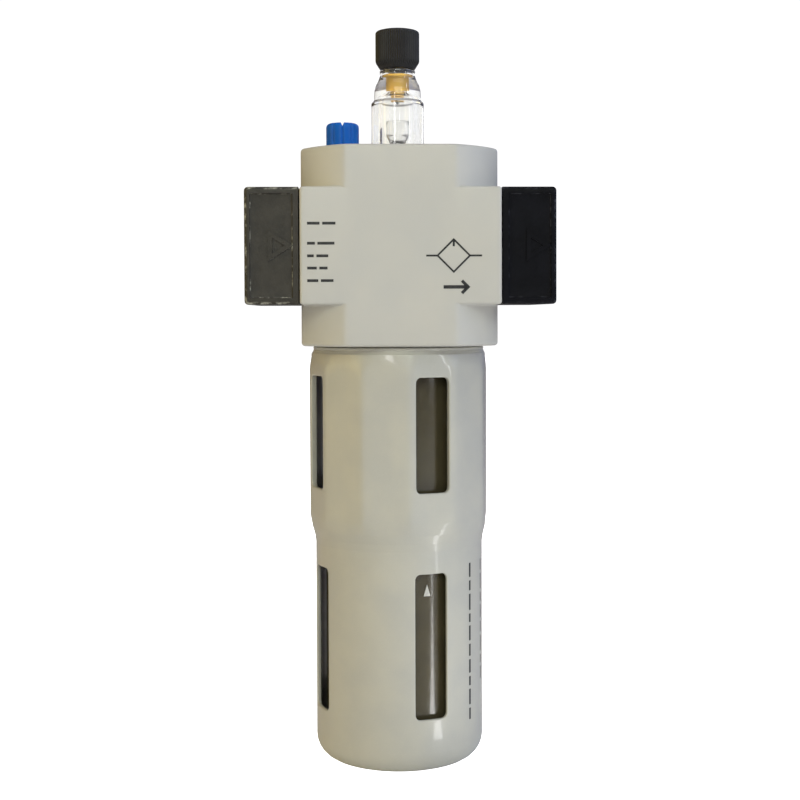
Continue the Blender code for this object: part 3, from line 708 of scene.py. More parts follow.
@dataclass
class PortPlate:
    """A die-cast connection plate with a threaded port, four sunk screws and a framed front panel."""

    side: int
    rounding: float = 1.1 * MM
    thread_minor: float = 9.3
    thread_major: float = 10.45
    thread_pitch: float = 1.814

    def __post_init__(self) -> None:
        """Takes the plate's place from its node."""
        self.word = "inlet" if self.side < 0 else "outlet"
        low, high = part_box(f"{self.word}_connection_plate")
        self.half = tuple((high - low) / 2)
        self.centre = tuple((high + low) / 2)
        self.inner = min(abs(low.x), abs(high.x)) / MM
        self.outer = max(abs(low.x), abs(high.x)) / MM
        self.front = low.y

    def port(self) -> Surface:
        """The port's cutter: a wall that swings between minor and major radius once a pitch along a helix."""
        start, end = self.inner + 2.4, self.outer - 0.9

        def thread(radius: Array, height: Array, angle: Array) -> Array:
            phase = (height / MM / self.thread_pitch - angle / (2 * np.pi)) % 1.0
            wave = np.clip(1.4 * (1 - np.abs(2 * phase - 1)) - 0.2, 0, 1)
            fade = np.clip((height / MM - start) / 1.5, 0, 1) * (height / MM < end) * (radius > 0)
            return radius + fade * wave * (self.thread_major - self.thread_minor) * MM

        mouth = self.thread_major + 0.5
        profile = rounded([(0, self.outer + 1, 0), (mouth, self.outer + 1, 0), (mouth, self.outer, 0),
                           (self.thread_minor, end, 0), (self.thread_minor, self.inner - 1, 0),
                           (0, self.inner - 1, 0)])
        profile = divided(profile, 0.16 * MM)
        profile = profile[(profile[:, 0] == 0) | (profile[:, 0] > (self.thread_minor - 0.01) * MM)]
        return along_x(turned(profile, 72, (0, 0), shape=thread), AXIS[1], 0, self.side)

    def tools(self) -> list[Surface]:
        """The port, the ring groove, the sunk screw holes and the front panel's recess."""
        groove = rounded([(12.1, self.inner - 1, 0), (12.1, self.inner + 1.25, 0.2),
                          (10.7, self.inner + 1.25, 0.2), (10.7, self.inner - 1, 0)], closed=True)
        hole = rounded([(0, 44, 0), (4.1, 44, 0), (4.1, 42.5, 0), (3.9, 42.2, 0), (3.9, 37.9, 0.1),
                        (2.4, 37.9, 0), (2.4, 26.5, 0), (0, 26.5, 0)])
        tools = [self.port(), along_x(turned(groove, 72, (0, 0), closed=True), AXIS[1], 0, self.side)]
        tools += [along_x(turned(hole, 40, (0, 0)), AXIS[1] + y * MM, z * MM, self.side)
                  for y in (-20, 20) for z in (-10, 10)]
        border, deep = 1.5 * MM, 0.55 * MM
        panel = (self.half[0] - border, 1.5 * MM, self.half[2] - border - 0.3 * MM)
        tools.append(rounded_box(panel, (self.centre[0], self.front + deep - panel[1], 0), 0.45 * MM))
        return tools

    def arrow(self) -> Surface:
        """The raised three-sided flow mark on the panel, a closed line that points along +X."""
        x = self.centre[0] / MM + 0.9
        path = [(x - 1.2, 3.2), (x + 3.9, 0.0), (x - 1.2, -3.2)]
        floor = self.front + 0.75 * MM

        def place(across: Array, up: Array, out: Array) -> Array:
            return np.stack([across, floor - out, up], -1)

        return stroke(path, 1.15, 0.6, place, closed=True)

    def screw(self, y: float, z: float) -> Surface:
        """A socket screw: a six-sided key hole, a round head and a threaded shank on one axis."""
        profile = rounded([(0, 39.6, 0), (1.7, 39.6, 0), (1.7, 42.0, 0), (1.95, 42.2, 0), (3.5, 42.2, 0.35),
                           (3.5, 38.2, 0.1), (2.0, 38.2, 0.2), (2.0, 24.8, 0), (1.5, 24.2, 0), (0, 24.2, 0)])
        profile = np.concatenate([profile[:-4], divided(profile[-4:-1], 0.18 * MM), profile[-1:]])

        def shape(radius: Array, height: Array, angle: Array) -> Array:
            key = np.abs((angle + np.pi / 6) % (np.pi / 3) - np.pi / 6)
            hexagon = radius / np.cos(key) * math.cos(math.pi / 6) * 1.08
            thread = 0.28 * MM * np.abs(2 * ((height / (0.7 * MM) - angle / (2 * np.pi)) % 1.0) - 1)
            shank = (height < 37.4 * MM) & (radius > 1.9 * MM)
            keyed = (height > 39.5 * MM) & (radius < 1.72 * MM)
            return np.where(keyed, hexagon, radius - np.where(shank, thread, 0))

        return along_x(turned(profile, 48, (0, 0), shape=shape), AXIS[1] + y * MM, z * MM, self.side)

    def build(self) -> None:
        """Casts, cuts and dresses the plate, its ring and its screws."""
        word = self.word
        plate = make_object(f"{word}_plate_casting",
                            rounded_box(self.half, self.centre, self.rounding, -self.side))
        cut(plate, self.tools())
        cut(plate, [self.arrow()], union=True)
        # The inlet plate takes the painted-lit black and the outlet plate the painted-shade black.
        finish = LIT_BLACK_PAINT if self.side < 0 else SHADED_BLACK_PAINT
        install(plate, finish, "housing", Slot.BLACK, f"{word}_connection_plate")
        seal = make_object(f"{word}_plate_seal",
                           along_x(ring(11.4, 0.6, self.inner + 0.62, (0, 0)), AXIS[1], 0,
                                                         self.side))
        install(seal, RUBBER, "housing", Slot.SEAL, f"{word}_plate_o_ring")
        for number in range(1, 5):
            node = f"{word}_plate_screw_{number}"
            low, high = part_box(node)
            y, z = (low.y + high.y) / 2 - AXIS[1], (low.z + high.z) / 2
            screw = make_object(f"{word}_socket_screw_{number}", self.screw(y / MM, z / MM))
            install(screw, STEEL, "housing", Slot.STEEL, node)


@dataclass
class SightGlass:
    """The clear dome with its funnel, the brass bush, the needle and the splined knob."""

    splines: int = 60
    spline_deep: float = 0.22 * MM

    def dome(self) -> Array:
        """Profile of the dome: neck, swelling shoulder, barrel with a seal groove, and the drip chamber."""
        return rounded([(5.1, 51.5, 0.25), (5.1, 49.8, 0.6), (5.55, 48.5, 2.0), (6.2, 47.3, 2.0),
                        (6.6, 45.9, 3.0), (6.78, 44.2, 3.0), (6.8, 42.8, 0.35), (7.56, 42.1, 0.7),
                        (7.56, 25.1, 0.1), (5.85, 25.1, 0.15), (5.85, 22.9, 0.15),
                        (7.56, 22.9, 0.15), (7.56, 20.8, 0.3), (4.6, 20.8, 0.2), (4.6, 41.8, 1.4),
                        (3.9, 43.9, 0.8), (2.16, 45.0, 0.2), (2.16, 48.9, 0.05), (2.86, 48.9, 0.05),
                        (2.86, 51.5, 0.2)], closed=True, steps=7)

    def funnel(self) -> Array:
        """Profile of the drip funnel: a thin cup on a hollow stem with a foot flange."""
        return rounded([(3.3, 36.8, 0.1), (3.3, 32.6, 1.5), (2.2, 30.6, 1.0), (1.6, 30.2, 0.2),
                        (1.6, 22.2, 0.1), (4.2, 22.2, 0.15), (4.2, 20.9, 0.15), (1.6, 20.9, 0.1),
                        (1.6, 8.6, 0.2),
                        (0.8, 8.6, 0.1), (0.8, 31.0, 0.1), (2.0, 31.2, 0.8), (3.08, 32.9, 1.4),
                        (3.08, 36.8, 0.1)],
                       closed=True)

    def bush(self) -> Array:
        """Profile of the needle bush: a collar, a grooved shank and a nozzle, with a straight bore."""
        return rounded([(2.9, 50.3, 0.15), (2.9, 48.9, 0.1), (2.2, 48.9, 0.05), (2.2, 45.2, 0.15),
                        (2.0, 44.9, 0.05), (2.0, 44.3, 0.05), (1.75, 44.1, 0.05), (1.75, 43.6, 0.05),
                        (2.0, 43.4, 0.05), (2.0, 42.7, 0.15), (1.3, 42.7, 0.1), (1.3, 49.1, 0.05),
                        (2.3, 49.1, 0.1), (2.3, 50.0, 0.1), (1.3, 50.0, 0.05), (1.3, 50.3, 0.1)], closed=True)

    def knob(self) -> Surface:
        """The knob: its radius dips by a rounded comb round the wall, and the dips fade out at both ends."""
        profile = rounded([(0, 63.0, 0), (4.9, 63.0, 0.4), (6.33, 62.6, 0.8), (6.33, 53.9, 1.6),
                           (5.0, 51.8, 0.35),
                           (2.9, 51.8, 0.1), (2.9, 50.6, 0.15), (1.3, 50.6, 0.1), (1.3, 57.0, 0),
                           (0, 57.0, 0)],
                          steps=7)
        profile = np.concatenate([divided(profile[:-3], 0.7 * MM), profile[-3:]])

        def comb(radius: Array, height: Array, angle: Array) -> Array:
            dip = (0.5 - 0.5 * np.cos(self.splines * angle)) ** 0.7
            outward = np.clip((radius - 5.15 * MM) / (0.7 * MM), 0, 1)
            fade = outward * np.clip((62.75 * MM - height) / (0.8 * MM), 0, 1)
            return radius - self.spline_deep * dip * fade

        return turned(profile, self.splines * 8, shape=comb)

    def build(self) -> None:
        """Makes the pieces on the housing, on the needle and on the knob."""
        dome = make_object("clear_sight_dome", turned(self.dome(), 144, closed=True))
        install(dome, CLEAR_DOME, "housing", Slot.CLEAR, "sight_dome")
        funnel = make_object("clear_drip_funnel", turned(self.funnel(), 96, closed=True))
        install(funnel, CLEAR_CUP, "housing", Slot.CLEAR, "drip_funnel")
        bush = make_object("brass_needle_bush", turned(self.bush(), 96, closed=True))
        install(bush, BRASS, "housing", Slot.BRASS, "needle_bush")
        rubber = {"dome_o_ring": ("dome_seal", ring(7.0, 0.85, 24.0)),
                  "needle_o_ring": ("needle_seal", ring(1.65, 0.32, 49.55))}
        for node, (name, surface) in rubber.items():
            install(make_object(name, surface), RUBBER, "housing", Slot.SEAL, node)
        needle = rounded([(0, 56.7, 0), (1.0, 56.7, 0.2), (1.0, 43.4, 0.1), (0.28, 41.7, 0.05), (0, 41.7, 0)])
        install(make_object("needle_spindle", turned(needle, 48)), STEEL, "needle", Slot.STEEL,
                "adjusting_needle")
        install(make_object("splined_knob", self.knob()), KNOB_BLACK, "knob", Slot.KNOB, "adjusting_knob",
                smooth=math.radians(50))


@dataclass
class FillerPlug:
    """The blue oil plug: a fluted head with a notch across its top, a shank and a seal ring."""

    flutes: int = 10
    flute_deep: float = 0.32 * MM

    def __post_init__(self) -> None:
        """Takes the plug's axis from its node."""
        low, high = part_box("filler_plug")
        self.centre = ((low.x + high.x) / 2, AXIS[1])

    def body(self) -> Surface:
        """The plug turned on its own axis; narrow grooves run down the head and fade at its flared base."""
        profile = rounded([(0, 36.3, 0), (4.72, 36.3, 1.2), (4.72, 29.0, 0.4), (4.95, 28.5, 0.2),
                           (4.95, 27.8, 0.1), (3.7, 27.8, 0.1), (3.7, 27.2, 0), (2.9, 27.2, 0.1),
                           (2.9, 25.4, 0.1), (3.7, 25.4, 0), (3.7, 19.0, 0.5), (0, 19.0, 0)])
        profile = divided(profile, 0.6 * MM)

        def groove(radius: Array, height: Array, angle: Array) -> Array:
            comb = np.clip(np.cos(self.flutes * (angle + np.pi / 2)), 0, 1) ** 5
            upward = np.clip((height - 27.9 * MM) / (1.2 * MM), 0, 1)
            fade = upward * np.clip((radius - 3.8 * MM) / (0.4 * MM), 0, 1)
            return radius - self.flute_deep * comb * fade

        return turned(profile, self.flutes * 24, self.centre, shape=groove)

    def notch(self) -> Surface:
        """The V across the top, from front to back: a wedge with its edge down."""
        top, wide, deep, reach = 36.4 * MM, 0.55 * MM, 1.2 * MM, 7 * MM
        section = np.array([(-wide, top), (0, top - deep), (wide, top), (0, top + deep)])
        ends = [np.stack([self.centre[0] + section[:, 0], np.full(4, AXIS[1] + y), section[:, 1]], -1)
                for y in (-reach, reach)]
        quads = np.concatenate([lattice(2, 4), [[0, 1, 2, 3], [7, 6, 5, 4]]])
        return np.concatenate(ends), quads

    def build(self) -> None:
        """Makes the plug and its ring."""
        plug = make_object("fluted_oil_plug", self.body())
        cut(plug, [self.notch()])
        install(plug, PLUG_BLUE, "plug", Slot.BLUE, "filler_plug")
        seal = make_object("oil_plug_seal", ring(3.45, 0.28, 26.3, self.centre))
        install(seal, RUBBER, "plug_seal", Slot.SEAL, "filler_plug_o_ring")


@dataclass
class Guard:
    """The metal guard: twelve flats above, round below, with two rows of four windows."""

    flats: float = 25.1 * MM
    sides: int = 12
    turn: float = math.radians(20.4 - 90)  # the angle of one windowed flat
    columns: int = 18  # across a flat
    window_rows: tuple = ((9.8, -36.1, -68.0), (9.4, -90.5, -131.0))  # width, top, bottom
    corner: float = 1.5
    lip: float = 0.4
    margin: float = 3.0
    flat_power: float = 95.0
    skirt_power: float = 120.0

    def outer(self) -> Array:
        """Profile of the outside: neck, collar, shoulder, waist and rounded foot."""
        return rounded([(23.5, -21.0, 0), (23.5, -27.9, 0.15), (24.7, -27.9, 0.3), (24.5, -28.7, 0.5),
                        (24.8, -29.4, 0.3), (25.1, -29.8, 0.5), (25.6, -32.4, 2.0), (26.5, -35.2, 2.0),
                        (25.95, -76.3, 2.0), (25.1, -79.7, 2.0), (24.4, -82.1, 2.0), (24.1, -84.2, 2.0),
                        (24.1, -146.6, 6.4), (7.0, -146.6, 0)], steps=7)

    def inner(self) -> Array:
        """Profile of the inside, from the floor hole up to the neck."""
        return rounded([(7.0, -146.6, 0), (7.0, -144.4, 0.4), (23.0, -144.4, 5.3), (23.0, -83.5, 2.0),
                        (23.9, -79.0, 2.0), (23.9, -34.5, 1.5), (22.0, -31.0, 1.0), (22.0, -21.0, 0.3),
                        (23.5, -21.0, 0)])

    def zones(self) -> list[tuple[float, float, int]]:
        """Top, bottom and row count of the band that holds each row of windows, in metres."""
        return [((top + self.margin) * MM, (bottom - self.margin) * MM, 24)
                for _, top, bottom in self.window_rows]

    def with_rows(self, profile: Array) -> Array:
        """The profile with the even rows that the window bands need, in place of its own points there."""
        going_down = profile[0, 1] > profile[-1, 1]
        for top, bottom, count in self.zones():
            heights = np.linspace(top, bottom, count + 1)
            order = profile if going_down else profile[::-1]
            run = order[:, 1]
            first = int(np.argmax(run < top + WELD))
            after = first + int(np.argmax(run[first:] < bottom - WELD))
            radii = np.interp(-heights, -run[first - 1:after + 1], order[first - 1:after + 1, 0])
            order = np.concatenate([order[:first], np.stack([radii, heights], -1), order[after:]])
            profile = order if going_down else order[::-1]
        return profile

    def radius(self, turned_radius: Array, angle: Array) -> Array:
        """The smaller of the turned outline and the flats, both eased: flats are a (sum of cos^p)^(-1/p)."""
        total = np.zeros(np.broadcast(turned_radius, angle).shape)
        for side in range(self.sides):
            centre = self.turn + side * 2 * np.pi / self.sides
            total = total + np.clip(np.cos(angle - centre), 0, 1) ** self.flat_power
        flat = self.flats * total ** (-1 / self.flat_power)
        share = (turned_radius / flat) ** self.skirt_power
        return turned_radius * (1 + share) ** (-1 / self.skirt_power)

    def angles(self) -> Array:
        """Column angles: evenly many on each flat, closer together near its edges."""
        swing = np.pi / 2 * 0.92
        spread = np.sin(np.linspace(-1, 1, self.columns + 1)[:-1] * swing) / math.sin(swing)
        half = np.pi / self.sides
        centres = self.turn + np.arange(self.sides)[:, None] * 2 * half
        return (centres + half * spread).ravel()

    def window(self, side: int, row: int, outer: Array, inner: Array) -> Surface:
        """The skin round one window, through the wall, and round it again inside.

        Loop k runs from the band's rectangle to the window's outline, which is the rectangle's point clamped
        to the window less its corner radius and pushed out by that radius. Then it rolls over the lip by a
        quarter circle, crosses the wall, and spreads back to the same rectangle on the inside.
        """
        width, top, bottom = self.window_rows[row]
        band_top, band_bottom, count = self.zones()[row]
        centre = self.turn + side * 2 * np.pi / self.sides
        angles = self.angles().reshape(self.sides, -1)[side]
        across = np.append(angles, centre + np.pi / self.sides)
        heights = np.linspace(band_top, band_bottom, count + 1)
        angle = np.concatenate([np.full(count, across[0]), across[:-1], np.full(count, across[-1]),
                                across[:0:-1]])
        height = np.concatenate([heights[:0:-1], np.full(self.columns, band_top), heights[:-1],
                                 np.full(self.columns, band_bottom)])

        def skin(x: Array, z: Array) -> Array:
            lean = np.zeros_like(x)
            turned_radius = np.interp(-z, -outer[:, 1], outer[:, 0])
            for _ in range(8):
                lean = np.arcsin(np.clip(x / self.radius(turned_radius, centre + lean), -0.9, 0.9))
            return self.radius(turned_radius, centre + lean) * np.cos(lean)

        def lining(x: Array, z: Array) -> Array:
            reach = np.interp(z, inner[:, 1], inner[:, 0])
            return np.sqrt(reach ** 2 - x ** 2)

        edge_radius = self.radius(np.interp(-height, -outer[:, 1], outer[:, 0]), angle)
        edge_x = edge_radius * np.sin(angle - centre)
        lining_radius = np.interp(height, inner[:, 1], inner[:, 0])
        lining_x = lining_radius * np.sin(angle - centre)
        middle = (top + bottom) / 2 * MM
        core = np.array([width / 2 - self.corner, (top - bottom) / 2 - self.corner]) * MM

        def outline(x: Array, offset: float) -> tuple[Array, Array]:
            spot = np.stack([x, height - middle], -1)
            held = np.clip(spot, -core, core)
            away = spot - held
            away /= np.linalg.norm(away, axis=1, keepdims=True)
            spot = held + away * (self.corner * MM + offset)
            return spot[:, 0], spot[:, 1] + middle

        rows = [(edge_radius * np.cos(angle - centre), edge_x, height)]
        start_x, start_z = outline(edge_x, self.lip * MM)
        for share in (0.35, 0.65, 0.85, 0.95):
            x, z = edge_x + (start_x - edge_x) * share, height + (start_z - height) * share
            rows.append((skin(x, z), x, z))
        for turn in np.linspace(0, np.pi / 2, 5):
            x, z = outline(edge_x, self.lip * MM * (1 - math.sin(turn)))
            rows.append((skin(x, z) - self.lip * MM * (1 - math.cos(turn)), x, z))
        inner_lip = self.lip * MM / 2
        for turn in np.linspace(0, np.pi / 2, 4):
            x, z = outline(edge_x, inner_lip * (1 - math.cos(turn)))
            rows.append((lining(x, z) + inner_lip * (1 - math.sin(turn)), x, z))
        for share in (0.3, 0.65):
            x, z = x + (lining_x - x) * share, z + (height - z) * share
            rows.append((lining(x, z), x, z))
        rows.append((lining_radius * np.cos(angle - centre), lining_x, height))
        out, over, up = (np.stack(parts) for parts in zip(*rows))
        points = np.stack([AXIS[0] + out * math.cos(centre) - over * math.sin(centre),
                           AXIS[1] + out * math.sin(centre) + over * math.cos(centre), up], -1)
        return points.reshape(-1, 3), lattice(len(rows), len(angle))

    def surface(self) -> Surface:
        """The whole guard: the turned wall without its bands on four flats, and the eight window skins."""
        outer, inner = self.with_rows(self.outer()), self.with_rows(self.inner())
        profile = np.concatenate([outer[:-1], inner[:-1]])
        angle = self.angles()[None, :]
        radius = profile[:, :1] * np.ones_like(angle)
        radius[:len(outer) - 1] = self.radius(profile[:len(outer) - 1, :1], angle)
        points = np.stack([AXIS[0] + radius * np.cos(angle), AXIS[1] + radius * np.sin(angle),
                           profile[:, 1:] * np.ones_like(angle)], -1).reshape(-1, 3)
        quads = lattice(len(profile), angle.size, close_rows=True)
        row, column = quads[:, 0] // angle.size, quads[:, 0] % angle.size
        middle = (profile[row, 1] + profile[(row + 1) % len(profile), 1]) / 2
        windowed = (column // self.columns) % 3 == 0
        inside = np.zeros(len(quads), bool)
        for top, bottom, _ in self.zones():
            inside |= windowed & (middle < top) & (middle > bottom)
        wall = (points, quads[~inside])
        wall_outer, wall_inner = outer[outer[:, 1] < -29.5 * MM][:-1], inner[inner[:, 1] < -30 * MM][3:]
        skins = [self.window(side, number, wall_outer, wall_inner)
                 for side in range(0, self.sides, 3) for number in range(len(self.window_rows))]
        return joined([wall, *skins])

    def build(self) -> None:
        """Makes the guard."""
        guard = make_object("slotted_guard", self.surface())
        install(guard, GUARD_PAINT, "guard", Slot.GUARD, "bowl_guard", smooth=math.radians(40))


@dataclass
class Bowl:
    """The clear oil bowl, its seal, the slip ring under its flange and the white level pointer."""

    radius: float = 21.2
    pointer_angle: float = math.radians(19.5 - 90)
    pointer_height: float = -97.1

    def profile(self) -> Array:
        """Profile of the bowl, from its floor up the inside, over the rim and down the outside."""
        return rounded([(0, -140.2, 0), (18.7, -140.2, 4.2), (18.7, -23.5, 1.0), (16.8, -21.0, 1.0),
                        (16.8, -13.4, 0.4), (20.0, -13.4, 0.5), (20.0, -14.3, 0.1), (18.1, -14.3, 0.1),
                        (18.1, -16.4, 0.1), (20.0, -16.4, 0.1), (20.0, -17.3, 0.1), (23.0, -17.3, 0.25),
                        (23.0, -19.3, 0.25), (self.radius, -19.3, 0.3), (self.radius, -142.6, 6.5),
                        (0, -142.6, 0)], steps=8)

    def pointer(self) -> Surface:
        """A raised triangle on the wall, point up: a closed line wound round the bowl's cylinder."""
        def place(across: Array, up: Array, out: Array) -> Array:
            reach = self.radius * MM - 0.05 * MM + out
            angle = self.pointer_angle + across / (self.radius * MM)
            return np.stack([AXIS[0] + reach * np.cos(angle), AXIS[1] + reach * np.sin(angle), up], -1)

        base = self.pointer_height
        path = [(-0.42, base + 0.5), (0.0, base + 1.9), (0.42, base + 0.5)]
        return stroke(path, 0.8, 0.3, place, closed=True)

    def build(self) -> None:
        """Makes the four pieces."""
        bowl = make_object("clear_oil_bowl", turned(divided(self.profile(), 6 * MM), 144))
        # The bowl's dark olive colour on its diffuse share is painted shade from inside the guard.
        install(bowl, BOWL_PAINTED_SHADE, "bowl", Slot.SHADED_CLEAR, "bowl")
        install(make_object("bowl_seal", ring(19.25, 0.9, -15.35)), RUBBER, "bowl", Slot.SEAL, "bowl_o_ring")
        install(make_object("level_pointer", self.pointer()), WHITE_ACETAL, "bowl", Slot.WHITE)
        loop = rounded([(23.2, -19.6, 0.15), (23.2, -20.7, 0.15), (21.5, -20.7, 0.15), (21.5, -19.6, 0.15)],
                       closed=True)
        slip = make_object("guard_slip_washer", turned(loop, 144, closed=True))
        install(slip, WHITE_ACETAL, "slip_ring", Slot.WHITE, "guard_slip_ring")


@dataclass
class OilRiser:
    """The siphon tube and its strainer; the small valves keep their own shapes."""

    def build(self) -> None:
        """Makes the tube and redresses the rest."""
        low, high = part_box("siphon_tube")
        centre = ((low.x + high.x) / 2, (low.y + high.y) / 2)
        tube = rounded([(2.5, -6.6, 0.3), (2.5, -134.0, 0.3), (1.5, -134.0, 0.1), (1.5, -6.6, 0.1)],
                       closed=True)
        piece = make_object("clear_siphon_tube",
                            turned(divided(tube, 8 * MM, closed=True), 48, centre, closed=True))
        # The siphon tube takes the bowl's finish, with the same painted shade.
        install(piece, BOWL_PAINTED_SHADE, "housing", Slot.SHADED_CLEAR, "siphon_tube")
        redress(SINTER, "siphon_strainer")
        redress(STEEL, "siphon_check_ball", "charge_valve_ball", "charge_valve_spring", "flap_pin")
        redress(BRASS, "charge_valve_retainer")
        redress(WHITE_ACETAL, "venturi_insert")
        redress(RUBBER, "damper_flap")


@dataclass
class Printing:
    """The printed marks: the circuit symbol, the flow arrow and plain rules in place of any wording."""

    film: float = 0.05  # mm, as are all the sizes here
    centre: float = 14.3  # the symbol's middle, to the right of the axis
    height: float = -2.8
    reach: float = 4.4  # the diamond's half width
    rule_left: float = -25.4
    rule_gap: float = 0.7
    rule_rows: tuple = ((6.0, (3.4, 3.6)), (0.6, (2.1, 4.6)), (-2.8, (1.8, 3.2)), (-6.1, (2.6, 2.2)),
                        (-9.5, (3.0, 3.4)))  # height and lengths
    column_top: float = -88.8
    column_gap: float = 1.0
    columns: tuple = ((54, 0.8, (4.0, 2.8, 4.6, 2.4, 4.2, 3.4, 3.8, 2.6, 4.4, 3.2)),
                      (73, 0.6, (3.2, 4.4, 2.6, 3.8, 3.0, 4.6, 2.4, 3.6)))  # degrees, width, lengths

    def on_front(self, across: Array, up: Array, out: Array) -> Array:
        """A point on the body's front face."""
        return np.stack([AXIS[0] + across, np.full_like(across, FRONT_Y) - out, up], -1)

    def on_guard(self, across: Array, up: Array, out: Array) -> Array:
        """A point on the guard's round wall; `across` is measured round it from the front."""
        reach = 24.08 * MM + out
        angle = across / (24.1 * MM) - np.pi / 2
        return np.stack([AXIS[0] + reach * np.cos(angle), AXIS[1] + reach * np.sin(angle), up], -1)

    def symbol(self) -> Surface:
        """The symbol: a diamond with a lead each side and a short drop line, and an arrow below it."""
        x, z, r = self.centre, self.height, self.reach
        head = 1.7
        arrow_z, arrow_end = z - 8.5, x + 3.9
        barb = arrow_end - head
        lines = [
            stroke([(x - r, z), (x, z + r), (x + r, z), (x, z - r)], 0.5, self.film, self.on_front,
                   closed=True),
            stroke([(x - r - 3.1, z), (x - r, z)], 0.52, self.film, self.on_front),
            stroke([(x + r, z), (x + r + 3.3, z)], 0.52, self.film, self.on_front),
            stroke([(x, z + r - 0.2), (x, z + r - 1.9)], 0.6, self.film, self.on_front),
            stroke([(x - 2.8, arrow_z), (arrow_end - 0.4, arrow_z)], 0.95, self.film, self.on_front),
            stroke([(barb, arrow_z + head), (arrow_end, arrow_z), (barb, arrow_z - head)], 0.85, self.film,
                   self.on_front),
        ]
        return joined(lines)

    def rules(self) -> Surface:
        """Short plain rules on the left of the block, where the rating lines stand."""
        lines = []
        for up, lengths in self.rule_rows:
            start = self.rule_left
            for length in lengths:
                lines.append(stroke([(start, up), (start + length, up)], 0.75, self.film, self.on_front))
                start += length + self.rule_gap
        return joined(lines)

    def guard_rules(self) -> Surface:
        """Two columns of short rules down the right of the guard's round part."""
        lines = []
        for turn, width, lengths in self.columns:
            across, up = math.radians(turn) * 24.1, self.column_top
            for length in lengths:
                lines.append(stroke([(across, up), (across, up - length)], width, self.film, self.on_guard))
                up -= length + self.column_gap
        return joined(lines)

    def build(self) -> None:
        """Prints the marks."""
        install(make_object("printed_symbol", self.symbol()), INK, "housing", Slot.BLACK)
        install(make_object("printed_rules", self.rules()), INK, "housing", Slot.BLACK)
        install(make_object("guard_printed_rules", self.guard_rules()), INK, "guard", Slot.BLACK)


# ---------------------------------------------------------------- studio

def area_light(name: str, size: tuple[float, float], power: float,
               colour: str = "#ffffff") -> bpy.types.Object:
    """A rectangular area light at the origin.

    Args:
        name: the light's name.
        size: its width and height, in metres.
        power: in watts.
        colour: as sRGB hex.

    Returns:
        The light's object, linked to the scene.
    """
    data = bpy.data.lights.new(name, "AREA")
    data.shape = "RECTANGLE"
    data.size, data.size_y = size
    data.energy = power
    data.color = linear(colour)[:3]
    lamp = bpy.data.objects.new(name, data)
    bpy.context.scene.collection.objects.link(lamp)
    return lamp


@dataclass(frozen=True)
class Lamp:
    """A light that faces the unit's middle, placed by angles from the front."""

    name: str
    azimuth: float  # degrees, to the right
    elevation: float  # degrees
    distance: float  # metres
    size: tuple[float, float]  # metres
    power: float  # watts
    colour: str = "#ffffff"

    def hang(self) -> None:
        """Adds the light."""
        turn, rise = math.radians(self.azimuth), math.radians(self.elevation)
        target = Vector((AXIS[0], AXIS[1], -50 * MM))
        away = Vector((math.sin(turn) * math.cos(rise), -math.cos(turn) * math.cos(rise), math.sin(rise)))
        lamp = area_light(self.name, self.size, self.power, self.colour)
        lamp.location = target + self.distance * away
        lamp.rotation_euler = (target - lamp.location).to_track_quat("-Z", "Y").to_euler()


LAMPS = (
    Lamp("front_soft", 3, 30, 1.3, (0.8, 0.5), 5.0, "#f6fdec"),
    Lamp("overhead_lamp", 30, 60, 1.0, (0.6, 0.08), 0.6),
    Lamp("right_strip", 51, 24, 0.9, (0.025, 0.85), 1.1),
    Lamp("left_strip", -16, 16, 0.8, (0.05, 0.3), 0.5),
    Lamp("left_warm", -75, 18, 1.2, (0.8, 0.8), 3.4, "#ffe07c"),
    Lamp("right_cool", 78, 28, 1.2, (0.8, 0.8), 2.1, "#bccdff"),
    Lamp("top_soft", 10, 80, 1.2, (0.8, 0.8), 2.0),
)


